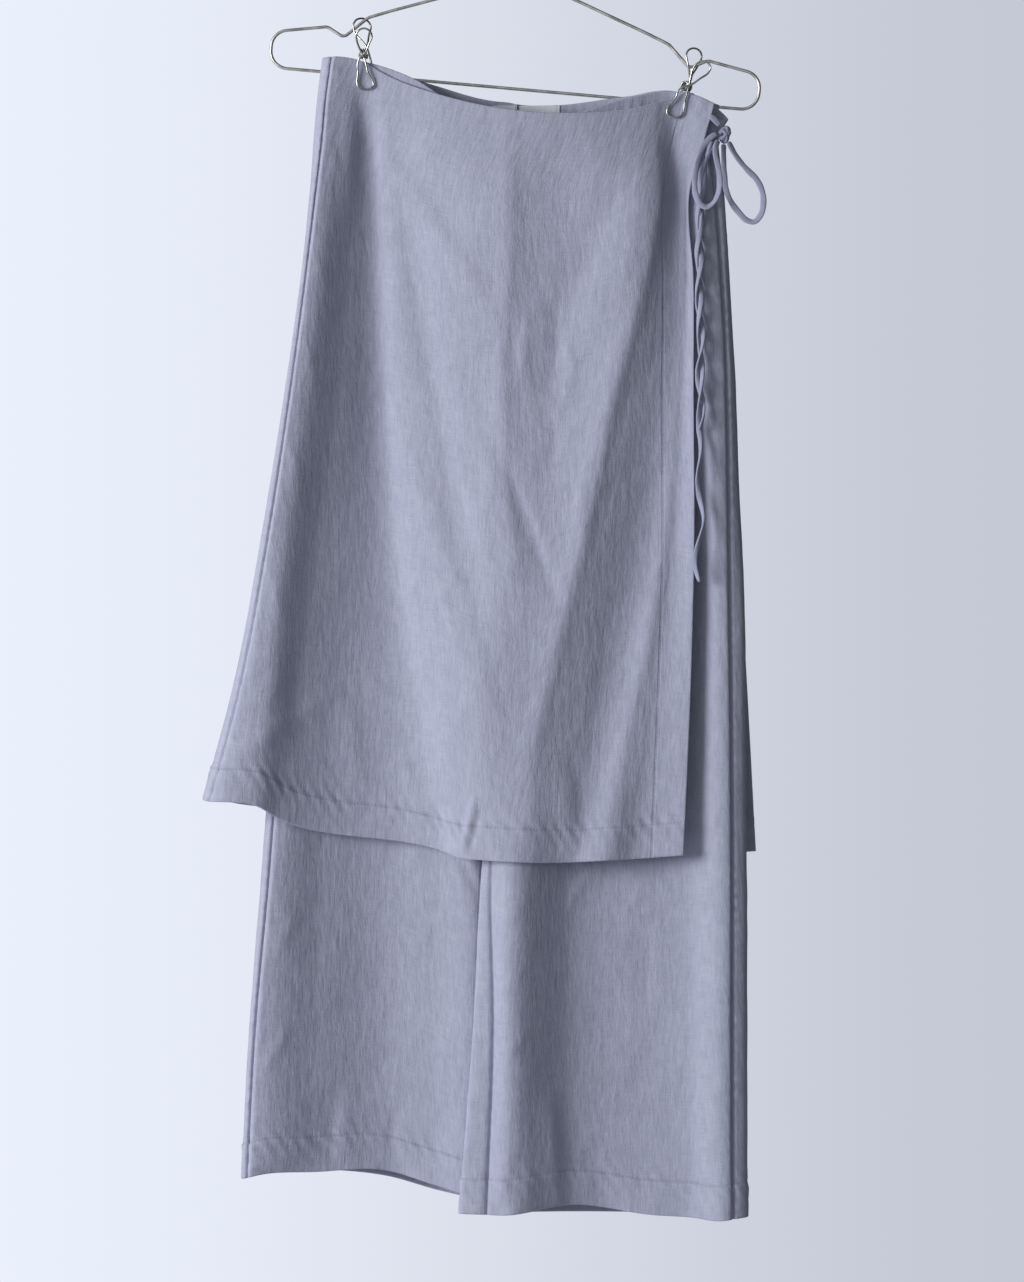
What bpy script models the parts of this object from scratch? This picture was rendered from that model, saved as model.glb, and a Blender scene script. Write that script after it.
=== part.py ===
"""Wrap culottes hanging from a wire clip hanger.

The culottes are four panels, two to a leg. A wrap overskirt of two panels lies over them, joined to
them at the waist, sewn to itself at one side seam and open at the other side, where its ties meet in
a bow. Two wire clips pinch the waist, and hang on the wire of the hanger.

World frame: metres, +Z up, +X to the viewer's right, the garment's front faces -Y. The origin is
where the hook of the hanger rests on its support. Tables are in millimetres: a drop is measured
downwards from the origin, across is X and depth is Y. Left and right of a leg are the wearer's.
"""

import math
from collections import namedtuple

import bmesh
import bpy
import numpy as np
from mathutils import Vector

MM = 0.001

CLOTH_WALL = 1.2
SEAM_GAP = 0.3
CROTCH_DROP = 482.0
CROTCH_GAP = 1.1
CROTCH_REACH = 80.0

HANGER_WIRE = 2.6
HANGER_TILT = math.radians(-5.1)
HOOK_HEIGHT = 167.0
HOOK_INNER_RADIUS = 20.0

CLIP_WIRE = 1.6
CLIP_COIL_RADIUS = 3.5
CLIP_COIL_WIDTH = 6.4
CLIP_COIL_TURNS = 3.5
CLIP_DEPTH = -14.0

TIE_WIDTH = 3.6
KNOT_CENTRE = (153.6, 205.0, -21.6)
KNOT_RADII = (4.8, 6.2, 3.8)

LABEL_WALL = 0.7
LABEL_LEFT = -31.0
LABEL_RIGHT = 22.5
LABEL_TOP_DROP = 182.6
LABEL_HEIGHT = 15.0

CLOTH_COLOUR = (0.37, 0.39, 0.50)
TAPE_COLOUR = (0.34, 0.36, 0.47)
LABEL_COLOUR = (0.78, 0.80, 0.84)
STEEL_COLOUR = (0.62, 0.62, 0.58)

# A Line is a fold, ridge, seam or edge that runs from the waist to the hem. It has so many columns
# of the wall between it and the next line, and its own top and hem drops. across and depth hold
# one value for each level of its garment's LEVELS.
Line = namedtuple("Line", "name columns top hem across depth")

# Rows of a wall: level ones at set drops, and above and below them some that follow the waist and
# the hem, at shares of the way there.
Rows = namedtuple("Rows", "waist_shares drops hem_shares")

OVERSKIRT_LEVELS = (145, 175, 205, 250, 320, 420, 520, 640, 770)
OVERSKIRT_ROWS = Rows((0, 0.3, 0.62), (250, 300, 350, 400, 450, 500, 550, 600, 650, 700),
                      (0.45, 0.7, 1))

OVERSKIRT_FRONT = (
    Line("front_edge", 3, 180, 781.5,
         (149, 147, 139.5, 126.8, 129.4, 129.6, 130, 127, 121.5),
         (-20, -20.5, -21.5, -22, -27, -31.5, -33.5, -34.5, -35)),
    Line("second_valley", 2, 172.8, 784.5,
         (130.5, 129, 126, 123.8, 123.8, 120, 114, 102, 84),
         (-18.2, -18.4, -18.8, -20.5, -25.5, -28.5, -30, -31, -32)),
    Line("second_ridge", 3, 172, 785.5,
         (124, 123, 122.3, 121.7, 120.6, 114.5, 107, 86, 62),
         (-17.6, -17.6, -18, -20.5, -26, -28.8, -31, -34, -39)),
    Line("right_valley", 4, 173, 787,
         (113.5, 113.5, 114, 117, 117, 110, 98, 76, 38),
         (-17.3, -17.2, -17.2, -20, -26.5, -29, -30, -31, -35)),
    Line("right_ridge", 4, 178.6, 786.5,
         (94, 94, 96, 101, 88, 62.5, 43, 12, -10),
         (-21.5, -22.3, -25, -31, -38.5, -42, -44.5, -45.5, -48)),
    Line("centre", 4, 187, 786,
         (20, 20, 19, 20, 24, 22, 10, -8, -22),
         (-33, -33.5, -33.5, -33.2, -34, -36, -42, -46, -47)),
    Line("centre_left", 4, 174, 785,
         (-70, -66, -56, -36, -24, -22, -24, -40, -40),
         (-26, -28, -31, -34.5, -35.8, -36.5, -41.5, -45, -42.5)),
    Line("left_ridge", 4, 154.6, 783.5,
         (-121, -119.5, -112, -104, -106, -98, -86, -66, -58),
         (-17.8, -18.6, -19.5, -17.5, -16.2, -17.5, -24, -36, -36)),
    Line("left_valley", 3, 147.2, 778,
         (-133, -133, -132.5, -129.5, -126.5, -124, -116.6, -100, -74),
         (-17.3, -17.2, -14.8, -12, -10.8, -11, -14, -19.5, -27.5)),
    Line("left_foot", 4, 144.2, 752,
         (-142, -142, -142, -143, -145, -152, -168, -184, -205),
         (-17.6, -18, -18.6, -17.4, -17, -21, -28, -37, -46)),
    Line("left_crest", 3, 142.4, 741,
         (-157, -159.5, -162, -167, -175, -188, -201, -209, -224),
         (-19.5, -23, -26.5, -30, -34.5, -41, -47, -52.5, -56.5)),
)
OVERSKIRT_BACK = (
    Line("side_seam", 2, 142.5, 738,
         (-160.5, -164.5, -167, -172, -180.3, -193.5, -208.5, -230.5, -264.5),
         (-19.8, -23.6, -27.4, -30.8, -35, -41.6, -47.2, -51.8, -55.5)),
    Line("side_fold", 3, 143, 737,
         (-167.8, -171.5, -174, -176.4, -181.6, -193.9, -208.4, -230.6, -265),
         (-14, -13.8, -13.5, -12.5, -11.5, -10, -8, -5, -2)),
    Line("back_left", 3, 143, 742,
         (-158, -160, -161.5, -164, -170, -181, -195, -215, -246),
         (-10, -9, -5.2, -0.4, 6, 13, 18.5, 24, 30)),
    Line("back_left_clip", 3, 148, 757,
         (-133, -133, -133, -132, -131, -128, -124, -117, -108),
         (-10.8, -10.8, -7.4, -1.4, 5.5, 12, 16.5, 20.5, 24)),
    Line("back_left_ridge", 4, 160, 768,
         (-98, -97, -96, -95, -92, -88, -82, -74, -64),
         (-9, -5.5, -2, 5, 14, 23, 30, 37, 44)),
    Line("back_centre", 4, 182, 780,
         (0, 0, 0, 0, 2, 4, 6, 8, 10),
         (-6.5, -4, -1, 6, 14, 21, 27, 32, 36)),
    Line("back_right_ridge", 3, 172.5, 784,
         (80, 82, 84, 86, 88, 92, 98, 106, 116),
         (-9, -6, -2.5, 5, 13, 22, 29, 36, 41)),
    Line("back_right_clip", 3, 169.8, 782,
         (114, 115, 116, 118, 122, 128, 134, 142, 150),
         (-10.6, -10.4, -9.2, -3, 2.5, 8, 12, 16, 20)),
    Line("back_edge", 0, 180, 780,
         (150, 150.5, 149.5, 154.5, 158.5, 163, 166.5, 173.2, 180.2),
         (-7.5, -7, -6, -1.6, 2, 5.5, 8.5, 11, 13)),
)

CULOTTE_LEVELS = (145, 175, 205, 250, 320, 400, 450, 482, 560, 680, 790, 920, 1060)
CULOTTE_ROWS = Rows((0, 0.2, 0.42, 0.68),
                    (250, 300, 350, 400, 430, 455, 471, 482, 495, 520, 560, 630, 710, 790, 850,
                     900),
                    (0.3, 0.6, 0.82, 1))

RIGHT_LEG_FRONT = (
    Line("inseam", 3, 184.5, 1058,
         (-12, -12, -12, -12, -12, -12, -12, -12, -16, -20, -24, -26, -28),
         (-29.5, -30, -29.5, -28.5, -27.5, -26, -21, -4, 4, 7, 8, 8, 8)),
    Line("inner_ridge", 2, 175.5, 1055.5,
         (-66, -66, -65, -64, -62, -60, -60, -60, -56, -49, -44, -43, -47),
         (-23.5, -24.5, -25.5, -26, -26, -25, -24, -24, -22.5, -21, -19.5, -18.5, -18.5)),
    Line("inner_slope", 2, 160, 1046,
         (-95, -95, -94, -93, -92, -92, -92, -92, -88, -84, -80, -79, -80),
         (-19.6, -20, -19, -17.5, -17, -16, -15.6, -15.6, -15, -14, -13, -12.5, -12.5)),
    Line("valley", 2, 146.5, 1034.8,
         (-133, -133, -133, -132.6, -131.8, -129, -127, -126, -122, -118, -117, -119, -119),
         (-15.2, -15, -12.3, -8, -5.8, -5, -5, -5.5, -8.2, -8.8, -9.6, -10.8, -11.2)),
    Line("outer_slope", 1, 144.4, 1035,
         (-145, -146, -147, -148, -150, -152, -154, -155, -156, -160, -164, -169, -172),
         (-15.7, -15.6, -14.6, -12.6, -12, -11.5, -11, -10.5, -10.6, -12, -20.5, -26, -27)),
    Line("outer_ridge", 2, 142.6, 1036.5,
         (-157, -158.5, -160, -163, -167, -172, -176, -179, -186, -194, -202, -212.5, -222),
         (-16.4, -16.6, -17, -18, -19, -18.5, -17.5, -17, -17.5, -23.4, -36, -42, -42)),
)
RIGHT_LEG_BACK = (
    Line("side_seam", 2, 142.6, 1038,
         (-160.5, -163.6, -166.5, -170, -176, -182, -186, -188.5, -195, -202, -209, -220.5, -228),
         (-15.6, -16, -16.6, -17.6, -18.6, -18.4, -17.8, -17.6, -18.2, -24, -36.8, -42.4, -41.6)),
    Line("side_fold", 2, 143, 1039.5,
         (-163.6, -167, -170, -173.4, -179, -185.6, -190, -192.6, -199, -207.5, -214.8, -222.8, -228.8),
         (-14, -13.5, -13, -12, -10.5, -8.5, -6.5, -5.5, -5, -6.5, -11, -13.5, -13)),
    Line("back_outer", 2, 143, 1038.5,
         (-154, -155.5, -157, -160.5, -167, -174, -178, -181, -188, -196, -202, -209, -215),
         (-12.2, -11, -8.6, -3.2, 3.6, 8.6, 10.6, 11.6, 13, 14.2, 15, 15.4, 15.6)),
    Line("back_clip", 2, 147, 1042,
         (-133, -133, -133, -132, -131, -130, -129, -128, -126, -124, -121, -118, -116),
         (-12.8, -12.8, -10, -4.4, 1.6, 6.2, 8, 9, 10.4, 11.6, 12.4, 13, 13.2)),
    Line("back_middle", 2, 164, 1055,
         (-80, -80, -79, -78, -76, -74, -73, -72, -72, -72, -72, -73, -74),
         (-12, -8.5, -5, 1, 8, 13, 15, 16, 18, 20, 22, 24, 25)),
    Line("back_inner", 1, 177, 1060,
         (-30, -30, -30, -30, -30, -30, -30, -31, -36, -40, -43, -45, -47),
         (-10, -7, -4, 1.5, 8, 13, 14.5, 15, 16, 18, 19, 20, 20)),
    Line("inner_fold", 1, 179.5, 1060,
         (-19, -19, -19, -19, -19, -19, -18, -16.5, -14.5, -17, -20.5, -22.5, -24.5),
         (-9.5, -6.5, -3.5, 1.8, 8, 12.5, 11, 5, 9, 12, 13, 13.5, 13.5)),
    Line("back_seam", 0, 181, 1058,
         (-12, -12, -12, -12, -12, -12, -12, -12, -16, -20, -24, -26, -28),
         (-9.2, -6.3, -3.3, 2, 8, 11.5, 6, -4, 4, 7, 8, 8, 8)),
)
LEFT_LEG_FRONT = (
    Line("inseam", 3, 184.5, 1068,
         (-12, -12, -12, -12, -12, -12, -12, -12, -15, -25, -32.9, -31.2, -36),
         (-29.5, -30, -29.5, -28.5, -27.5, -26, -21, -4, -15, -24, -31, -34, -36)),
    Line("inner_ridge", 3, 187, 1068,
         (30, 30, 30, 30, 30, 28, 25, 22, 8, -9, -20, -24, -25),
         (-28, -29, -29.6, -30, -30, -29.5, -29, -29, -31, -36, -40, -41, -42)),
    Line("valley", 3, 176.3, 1062,
         (75, 75, 74, 73, 70, 66, 62, 60, 50, 40, 35, 33, 34),
         (-20, -20.5, -21.5, -23.5, -23, -21, -20, -19.5, -18.5, -17.5, -17, -17, -18)),
    Line("outer_slope", 2, 169.8, 1070.5,
         (113.5, 114.5, 115.5, 117, 115, 110, 106, 104, 100, 97, 97, 97, 97),
         (-15.2, -14.2, -13, -12.8, -15, -15, -14.5, -14.5, -14, -13.5, -13.3, -13.3, -14)),
    Line("outer_lift", 2, 170.5, 1072,
         (120, 122, 123, 124.5, 126, 127, 127, 127, 127, 127, 127, 127, 127),
         (-15.6, -15.2, -15, -16.4, -20.5, -22.5, -22, -21.5, -18.5, -17.6, -17.2, -17, -17.4)),
    Line("outer_ridge", 1, 172, 1073.5,
         (127, 130, 131, 132.5, 139, 144.5, 148, 149.4, 151.4, 153.6, 154.2, 153.6, 153.4),
         (-16.2, -16.5, -17, -19, -25.5, -29, -30.2, -30.4, -30.4, -30.6, -30.8, -30.8, -30.8)),
    Line("outer_turn", 1, 178, 1073,
         (131.5, 134, 135.5, 139, 145, 150.4, 152.4, 153.2, 154.8, 156.8, 157.6, 157.4, 157.4),
         (-16.3, -16.6, -17, -19, -25, -28.2, -29.4, -29.8, -30, -30.2, -30.4, -30.4, -30.4)),
)
LEFT_LEG_BACK = (
    Line("side_seam", 2, 188, 1072.5,
         (140, 141.5, 141.5, 147, 152.2, 155.8, 156.8, 157.2, 158, 159.4, 160.2, 160.2, 160.6),
         (-16, -16.2, -16, -17, -21.8, -26, -27.2, -27.6, -28, -28.4, -28.6, -28.6, -28.4)),
    Line("side_fold", 2, 192, 1071.5,
         (175, 168, 150, 153.4, 157.5, 161.4, 162.8, 163.8, 167.2, 168.8, 169.4, 169.6, 170),
         (-12, -12, -12, -13.5, -17, -20.8, -22.2, -22.8, -23.6, -24, -24.2, -24.2, -24)),
    Line("back_outer", 2, 184, 1072.5,
         (152, 152, 143, 144, 147, 150, 151, 152, 154, 156, 157, 158, 158),
         (-11.4, -11, -10.2, -6, -1.5, 2, 3.5, 4.5, 6, 7.5, 8, 8.5, 8.5)),
    Line("back_clip", 2, 169.6, 1072,
         (113.5, 114.5, 115.5, 117, 120, 122, 123, 124, 126, 130, 132, 134, 134),
         (-12.8, -12.6, -11.6, -7.8, -3, 1, 2.5, 3.5, 5.5, 7.5, 9, 10, 10.5)),
    Line("back_middle", 2, 176.5, 1070.5,
         (62, 62, 62, 62, 62, 62, 61, 60, 58, 56, 54, 52, 50),
         (-12, -9, -5.5, 1, 8, 13, 15, 15.5, 15.5, 14.5, 13.5, 13, 13)),
    Line("back_inner", 2, 182, 1069,
         (8, 8, 8, 8, 8, 7, 6, 5, 2, -4, -10, -12, -16),
         (-9.5, -6.5, -3.5, 2, 8, 12.5, 13.5, 12, 3, -3, -6, -7, -7)),
    Line("inner_fold", 1, 182, 1067.5,
         (-5, -5, -5, -5, -5, -5, -6, -9, -17, -28.5, -38.6, -45.8, -56.4),
         (-9.2, -6.3, -3.3, 2, 8, 12, 10, 3, -10, -19, -27, -30, -33)),
    Line("back_seam", 0, 181, 1068,
         (-12, -12, -12, -12, -12, -12, -12, -12, -15, -25, -32.9, -31.2, -36),
         (-9.2, -6.3, -3.3, 2, 8, 11.5, 6, -4, -15, -24, -31, -34, -36)),
)

# A Clip has its coil at a place on the waist, turned by yaw degrees. Each lever is one closed loop
# of wire from its jaw past the coil to its ring: across and down from the coil, and towards the
# viewer. The hanger's wire runs through the ring of the back lever.
Clip = namedtuple("Clip", "side across drop yaw front_lever back_lever")
CLIPS = (
    Clip(
        "left", -135.2, 139.8, 0,
        ((-4.2, 16, 5.9), (-4.1, 26.4, 5.5), (-3, 27.8, 5.4), (7.2, 27.4, 5.4), (8.4, 26.2, 5.4),
         (8.3, 24.4, 5.5), (3.8, 15.4, 5.9), (1.4, 5.6, 6), (-1.4, -0.5, 6.2), (-5.1, -10.7, 9.7),
         (-5.2, -14.4, 10.8), (-3.2, -17.6, 11.8), (0.3, -19, 12.2), (3.9, -18.2, 12),
         (6.5, -15.4, 11.1), (7, -11.7, 10.2), (5.6, -8.8, 9.6), (1, 0.8, 8.2), (-2.6, 4, 8),
         (-4.2, 8, 7.4)),
        ((-4.6, 14, -5.9), (-4.6, 26, -5.6), (-3.6, 27.4, -5.6), (8.6, 27.4, -5.6),
         (9.6, 26, -5.6), (7.6, 13, -6), (5.2, 2, -6.2), (2.8, -5.6, -6.4), (-7.7, -20.3, -9),
         (-8.2, -24.4, -8.6), (-6.3, -28.1, -10.1), (-2.6, -30, -13.6), (1.5, -29.5, -18.2),
         (4.6, -26.7, -19.6), (5.5, -22.6, -19.6), (4.6, -19.8, -18.8), (2.8, -8, -10),
         (0.6, -2, -8.4), (-3.6, 3.6, -8.2)),
    ),
    Clip(
        "right", 123.7, 165.7, 45,
        ((-8.3, 9.1, 6.6), (-15.6, 20.6, 6.1), (-15.4, 22.4, 6), (-6, 25.5, 6), (-4.6, 24.6, 6),
         (-1.1, 12.2, 6.4), (0.8, 4.6, 6.6), (2.4, -2, 6.8), (3.6, -8, 7.6), (5.4, -13.7, 8.8),
         (8.6, -17.4, 10), (12.6, -18.9, 10.6), (16.6, -17.6, 10.8), (19, -13.9, 10.6),
         (17.6, -10.2, 10), (10.5, -5, 9.2), (3.8, -0.4, 8.8), (-2.8, 1.6, 8.6), (-6.6, 4.2, 7.6)),
        ((-9, 9, -6.6), (-15, 20, -6.4), (-14.8, 21.6, -6.4), (-5, 24.6, -6.4),
         (-3.8, 23.4, -6.4), (0.6, 11, -6.6), (2.6, 2, -6.8), (3, -7, -7.4), (1.7, -18.4, -11),
         (0.9, -23, -11.2), (0.4, -26.8, -11.4), (2.1, -30.2, -12.2), (5.5, -31.9, -13.6),
         (9.3, -31.4, -15.2), (12.1, -28.9, -16.6), (12.9, -25.2, -17.4), (11.8, -22.1, -17.4),
         (9.3, -17.2, -17.3), (5, -10, -12.4), (3.4, -4.5, -9.6), (-3, 2.5, -8.8)),
    ),
)

# Routes are hand-placed points: across, drop, depth.
LEFT_LOOP = (
    (147.4, 204.6, -22.8), (143.4, 207.4, -25), (138, 213.2, -27.4), (133, 225, -28.8),
    (130, 241, -30), (130.6, 254, -31.4), (134.4, 261.6, -32.4), (139.2, 264.2, -32.4),
    (144, 261.4, -32), (148.2, 254.4, -31), (149.9, 242.4, -29.6), (148.6, 231, -28.6),
    (146.6, 220, -27.6), (147.2, 214, -26.4), (149, 210.4, -23.8),
)
RIGHT_LOOP = (
    (157.2, 211.4, -22), (163, 221.8, -21.4), (171.8, 232.8, -20.6), (179.5, 240.6, -20),
    (184.3, 250.3, -19.6), (185.3, 260, -19.4), (183.4, 268.7, -19.4), (177.6, 275, -19.6),
    (171.8, 273.6, -19.8), (165.9, 267.8, -20), (160, 260, -20.2), (155.6, 250.3, -20.4),
    (153.9, 238.7, -20.6), (153.4, 226.1, -20.8), (153.3, 213.2, -21),
)
TAILS_ROUTE = (
    (145.6, 210.2, -19.6), (143.6, 215, -21), (140.4, 223, -22.6), (137.6, 233, -23.6),
    (136, 246, -24.4), (134.8, 260, -25.4), (133.6, 284, -28), (133.4, 312, -30.2),
    (133.2, 344, -32), (134.6, 372, -33.4), (133.8, 400, -35), (134.8, 428, -36.4),
    (132.8, 448, -37.4), (132, 470, -38.6), (134.8, 494, -39.8), (135.4, 508, -40.4),
    (132, 530, -41.4), (131.2, 544, -42), (134, 563, -42.6),
)
TAIL_TWIST_RADIUS = 2.1
TAIL_TWIST_PITCH = 62.0
SHORT_TAIL_END = 442.0
FRONT_TIE_ROOT = ((142.8, 190.5, -24.4), (146.4, 194, -24.8), (150, 197.8, -23.8))
BACK_TIE_ROOT = ((153.2, 206.8, -6.4), (156.4, 206.4, -9.6), (157.6, 205.8, -13), (156.8, 205.2, -16.6))


def curve_through(knots, values, at):
    """Smooth curve through values at knots, straight past the first and the last."""
    knots, values, at = (np.asarray(item, float) for item in (knots, values, at))
    flat = values.reshape(len(knots), -1)
    slopes = np.gradient(flat, knots, axis=0)
    inside = np.clip(at, knots[0], knots[-1])
    span = np.clip(np.searchsorted(knots, inside) - 1, 0, len(knots) - 2)
    step = (knots[span + 1] - knots[span])[:, None]
    share = (inside - knots[span])[:, None] / step
    curve = flat[span] * (2 * share**3 - 3 * share**2 + 1)
    curve += slopes[span] * step * (share**3 - 2 * share**2 + share)
    curve += flat[span + 1] * (3 * share**2 - 2 * share**3)
    curve += slopes[span + 1] * step * (share**3 - share**2)
    curve += slopes[np.where(at < knots[0], 0, -1)] * (at - inside)[:, None]
    return curve.reshape(len(at), *values.shape[1:])


def row_drops(line, rows):
    """Drops at which the rows cross a line."""
    first, last = rows.drops[0], rows.drops[-1]
    waist = [line.top + (first - line.top) * share for share in rows.waist_shares]
    hem = [last + (line.hem - last) * share for share in rows.hem_shares]
    return np.array([*waist, *rows.drops, *hem], float)


def cloth_grid(lines, levels, rows):
    """Middle surface through the lines: points by row and column, and the column of each line."""
    ribs = []
    for line in lines:
        drops = row_drops(line, rows)
        across = curve_through(levels, line.across, drops)
        depth = curve_through(levels, line.depth, drops)
        ribs.append(np.stack([across, depth, -drops], axis=1))
    ribs = np.array(ribs)
    starts = np.cumsum([0] + [line.columns for line in lines[:-1]])
    grid = []
    for points in ribs.transpose(1, 0, 2):
        chords = np.linalg.norm(np.diff(points, axis=0), axis=1)
        places = np.concatenate([[0], np.cumsum(chords)])
        wanted = [
            places[number] + chords[number] * step / line.columns
            for number, line in enumerate(lines[:-1])
            for step in range(line.columns)
        ]
        grid.append(curve_through(places, points, wanted + [places[-1]]))
    return np.array(grid), starts


def cloth_normals(grid, crotch_row=None):
    """Unit normals of the middle surface. Below a crotch row the first and last columns meet."""
    across = np.gradient(grid, axis=1)
    down = np.gradient(grid, axis=0)
    if crotch_row is not None:
        outwards = np.array([math.copysign(1, across[0, 0][0]), 0, 0])
        across[:crotch_row, 0] = outwards
        across[:crotch_row, -1] = -outwards
        across[crotch_row:, 0] = across[crotch_row:, -1] = grid[crotch_row:, 1] - grid[crotch_row:, -2]
        down[crotch_row:, 0] = down[crotch_row:, -1] = down[crotch_row:, 0] + down[crotch_row:, -1]
    normals = np.cross(across, down)
    if crotch_row is not None:
        normals[crotch_row, 0] = normals[crotch_row, -1] = (0, 0, -1)
    return normals / np.linalg.norm(normals, axis=2, keepdims=True)


def pulled_in(grid, first_gap, last_gap):
    """The grid with its first and last columns moved inwards, so that seams stay open a little."""
    grid = grid.copy()
    for edge, inner, gap in ((0, 1, first_gap), (-1, -2, last_gap)):
        towards = grid[:, inner] - grid[:, edge]
        towards /= np.linalg.norm(towards, axis=1, keepdims=True)
        grid[:, edge] += towards * np.reshape(gap, (-1, 1))
    return grid


def material(name, colour, roughness, metallic=0.0):
    made = bpy.data.materials.new(name)
    made.use_nodes = True
    shader = made.node_tree.nodes["Principled BSDF"]
    shader.inputs["Base Color"].default_value = (*colour, 1.0)
    shader.inputs["Roughness"].default_value = roughness
    shader.inputs["Metallic"].default_value = metallic
    return made


def add_object(name, data, finish):
    made = bpy.data.objects.new(name, data)
    data.materials.append(finish)
    bpy.context.scene.collection.objects.link(made)
    return made


def add_wall(name, grid, normals, thickness, finish):
    """Closed wall of cloth on both sides of the middle surface."""
    rows, columns = grid.shape[:2]
    mesh = bmesh.new()
    sides = []
    for offset in (thickness / 2, -thickness / 2):
        points = (grid + normals * offset) * MM
        sides.append([[mesh.verts.new(point) for point in row] for row in points])
    for side in sides:
        for row in range(rows - 1):
            for column in range(columns - 1):
                mesh.faces.new((side[row][column], side[row][column + 1],
                                side[row + 1][column + 1], side[row + 1][column]))
    rim = [(0, column) for column in range(columns)]
    rim += [(row, columns - 1) for row in range(1, rows)]
    rim += [(rows - 1, column) for column in range(columns - 2, -1, -1)]
    rim += [(row, 0) for row in range(rows - 2, 0, -1)]
    for here, there in zip(rim, rim[1:] + rim[:1]):
        mesh.faces.new((sides[0][here[0]][here[1]], sides[0][there[0]][there[1]],
                        sides[1][there[0]][there[1]], sides[1][here[0]][here[1]]))
    bmesh.ops.recalc_face_normals(mesh, faces=mesh.faces)
    data = bpy.data.meshes.new(name)
    mesh.to_mesh(data)
    mesh.free()
    data.shade_smooth()
    data.set_sharp_from_angle(angle=math.radians(50))
    return add_object(name, data, finish)


def add_tube(name, points, diameter, finish, closed=False, rings=2):
    """Round wire or cord through points that are already close enough together."""
    data = bpy.data.curves.new(name, "CURVE")
    data.dimensions = "3D"
    data.bevel_depth = diameter / 2 * MM
    data.bevel_resolution = rings
    data.use_fill_caps = not closed
    spline = data.splines.new("POLY")
    spline.points.add(len(points) - 1)
    for point, place in zip(spline.points, points):
        point.co = (*[value * MM for value in place], 1.0)
    spline.use_cyclic_u = closed
    return add_object(name, data, finish)


def bent(corners, turn=math.radians(24)):
    """Path through (place, radius) corners, each but the ends rounded by an arc of its radius."""
    path = [Vector(corners[0][0])]
    for number, (place, radius) in enumerate(corners[1:-1], 1):
        place = Vector(place)
        before = (Vector(corners[number - 1][0]) - place).normalized()
        after = (Vector(corners[number + 1][0]) - place).normalized()
        angle = math.pi - before.angle(after)
        reach = radius * math.tan(angle / 2)
        middle = place + (before + after).normalized() * radius / math.cos(angle / 2)
        start = (place + before * reach - middle).normalized()
        end = (place + after * reach - middle).normalized()
        steps = max(1, round(angle / turn))
        for step in range(steps + 1):
            path.append(middle + start.slerp(end, step / steps) * radius)
    path.append(Vector(corners[-1][0]))
    return path


def add_leg(side, front_lines, back_lines, finish):
    """Front and back panel of one leg. They meet at the side seam and, below the crotch, inside."""
    lines = front_lines + back_lines
    grid, starts = cloth_grid(lines, CULOTTE_LEVELS, CULOTTE_ROWS)
    drops = -grid[:, 0, 2]
    crotch_row = int(np.argmin(np.abs(drops - CROTCH_DROP)))
    inseam = (grid[crotch_row:, 0] + grid[crotch_row:, -1]) / 2
    grid[crotch_row:, 0] = grid[crotch_row:, -1] = inseam
    normals = cloth_normals(grid, crotch_row)
    nearness = np.clip(1 - np.abs(drops - CROTCH_DROP) / CROTCH_REACH, 0, 1)
    inner_gap = SEAM_GAP / 2 + CROTCH_GAP * nearness
    side_gap = SEAM_GAP / 2
    seam = starts[len(front_lines)]
    add_wall(f"culotte_front_{side}", pulled_in(grid[:, :seam + 1], inner_gap, side_gap),
             normals[:, :seam + 1], CLOTH_WALL, finish)
    add_wall(f"culotte_back_{side}", pulled_in(grid[:, seam:], side_gap, inner_gap),
             normals[:, seam:], CLOTH_WALL, finish)


def add_overskirt(finish):
    """Front and back panel of the wrap, from its front free edge round the side to its back one."""
    lines = OVERSKIRT_FRONT + OVERSKIRT_BACK
    grid, starts = cloth_grid(lines, OVERSKIRT_LEVELS, OVERSKIRT_ROWS)
    normals = cloth_normals(grid)
    seam = starts[len(OVERSKIRT_FRONT)]
    add_wall("overskirt_front", pulled_in(grid[:, :seam + 1], 0, SEAM_GAP / 2),
             normals[:, :seam + 1], CLOTH_WALL, finish)
    add_wall("overskirt_back", pulled_in(grid[:, seam:], SEAM_GAP / 2, 0),
             normals[:, seam:], CLOTH_WALL, finish)


def add_waist_label(finish):
    """Blank woven label on the inside of the back waist, made from the back panels' lines."""
    back = sorted(
        [line for line in RIGHT_LEG_BACK if line.name in ("back_middle", "back_inner", "back_seam")]
        + [line for line in LEFT_LEG_BACK if line.name in ("back_inner", "back_middle")],
        key=lambda line: line.across[0])
    offset = CLOTH_WALL / 2 + SEAM_GAP + LABEL_WALL / 2
    grid = []
    for drop in np.linspace(LABEL_TOP_DROP, LABEL_TOP_DROP + LABEL_HEIGHT, 3):
        places = np.array([[curve_through(CULOTTE_LEVELS, values, [drop])[0]
                            for values in (line.across, line.depth)] for line in back])
        across = np.linspace(LABEL_LEFT, LABEL_RIGHT, 7)
        depth = curve_through(places[:, 0], places[:, 1], across) - offset
        grid.append(np.stack([across, depth, np.full(7, -drop)], axis=1))
    grid = np.array(grid)
    add_wall("waist_label", grid, cloth_normals(grid), LABEL_WALL, finish)


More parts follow.
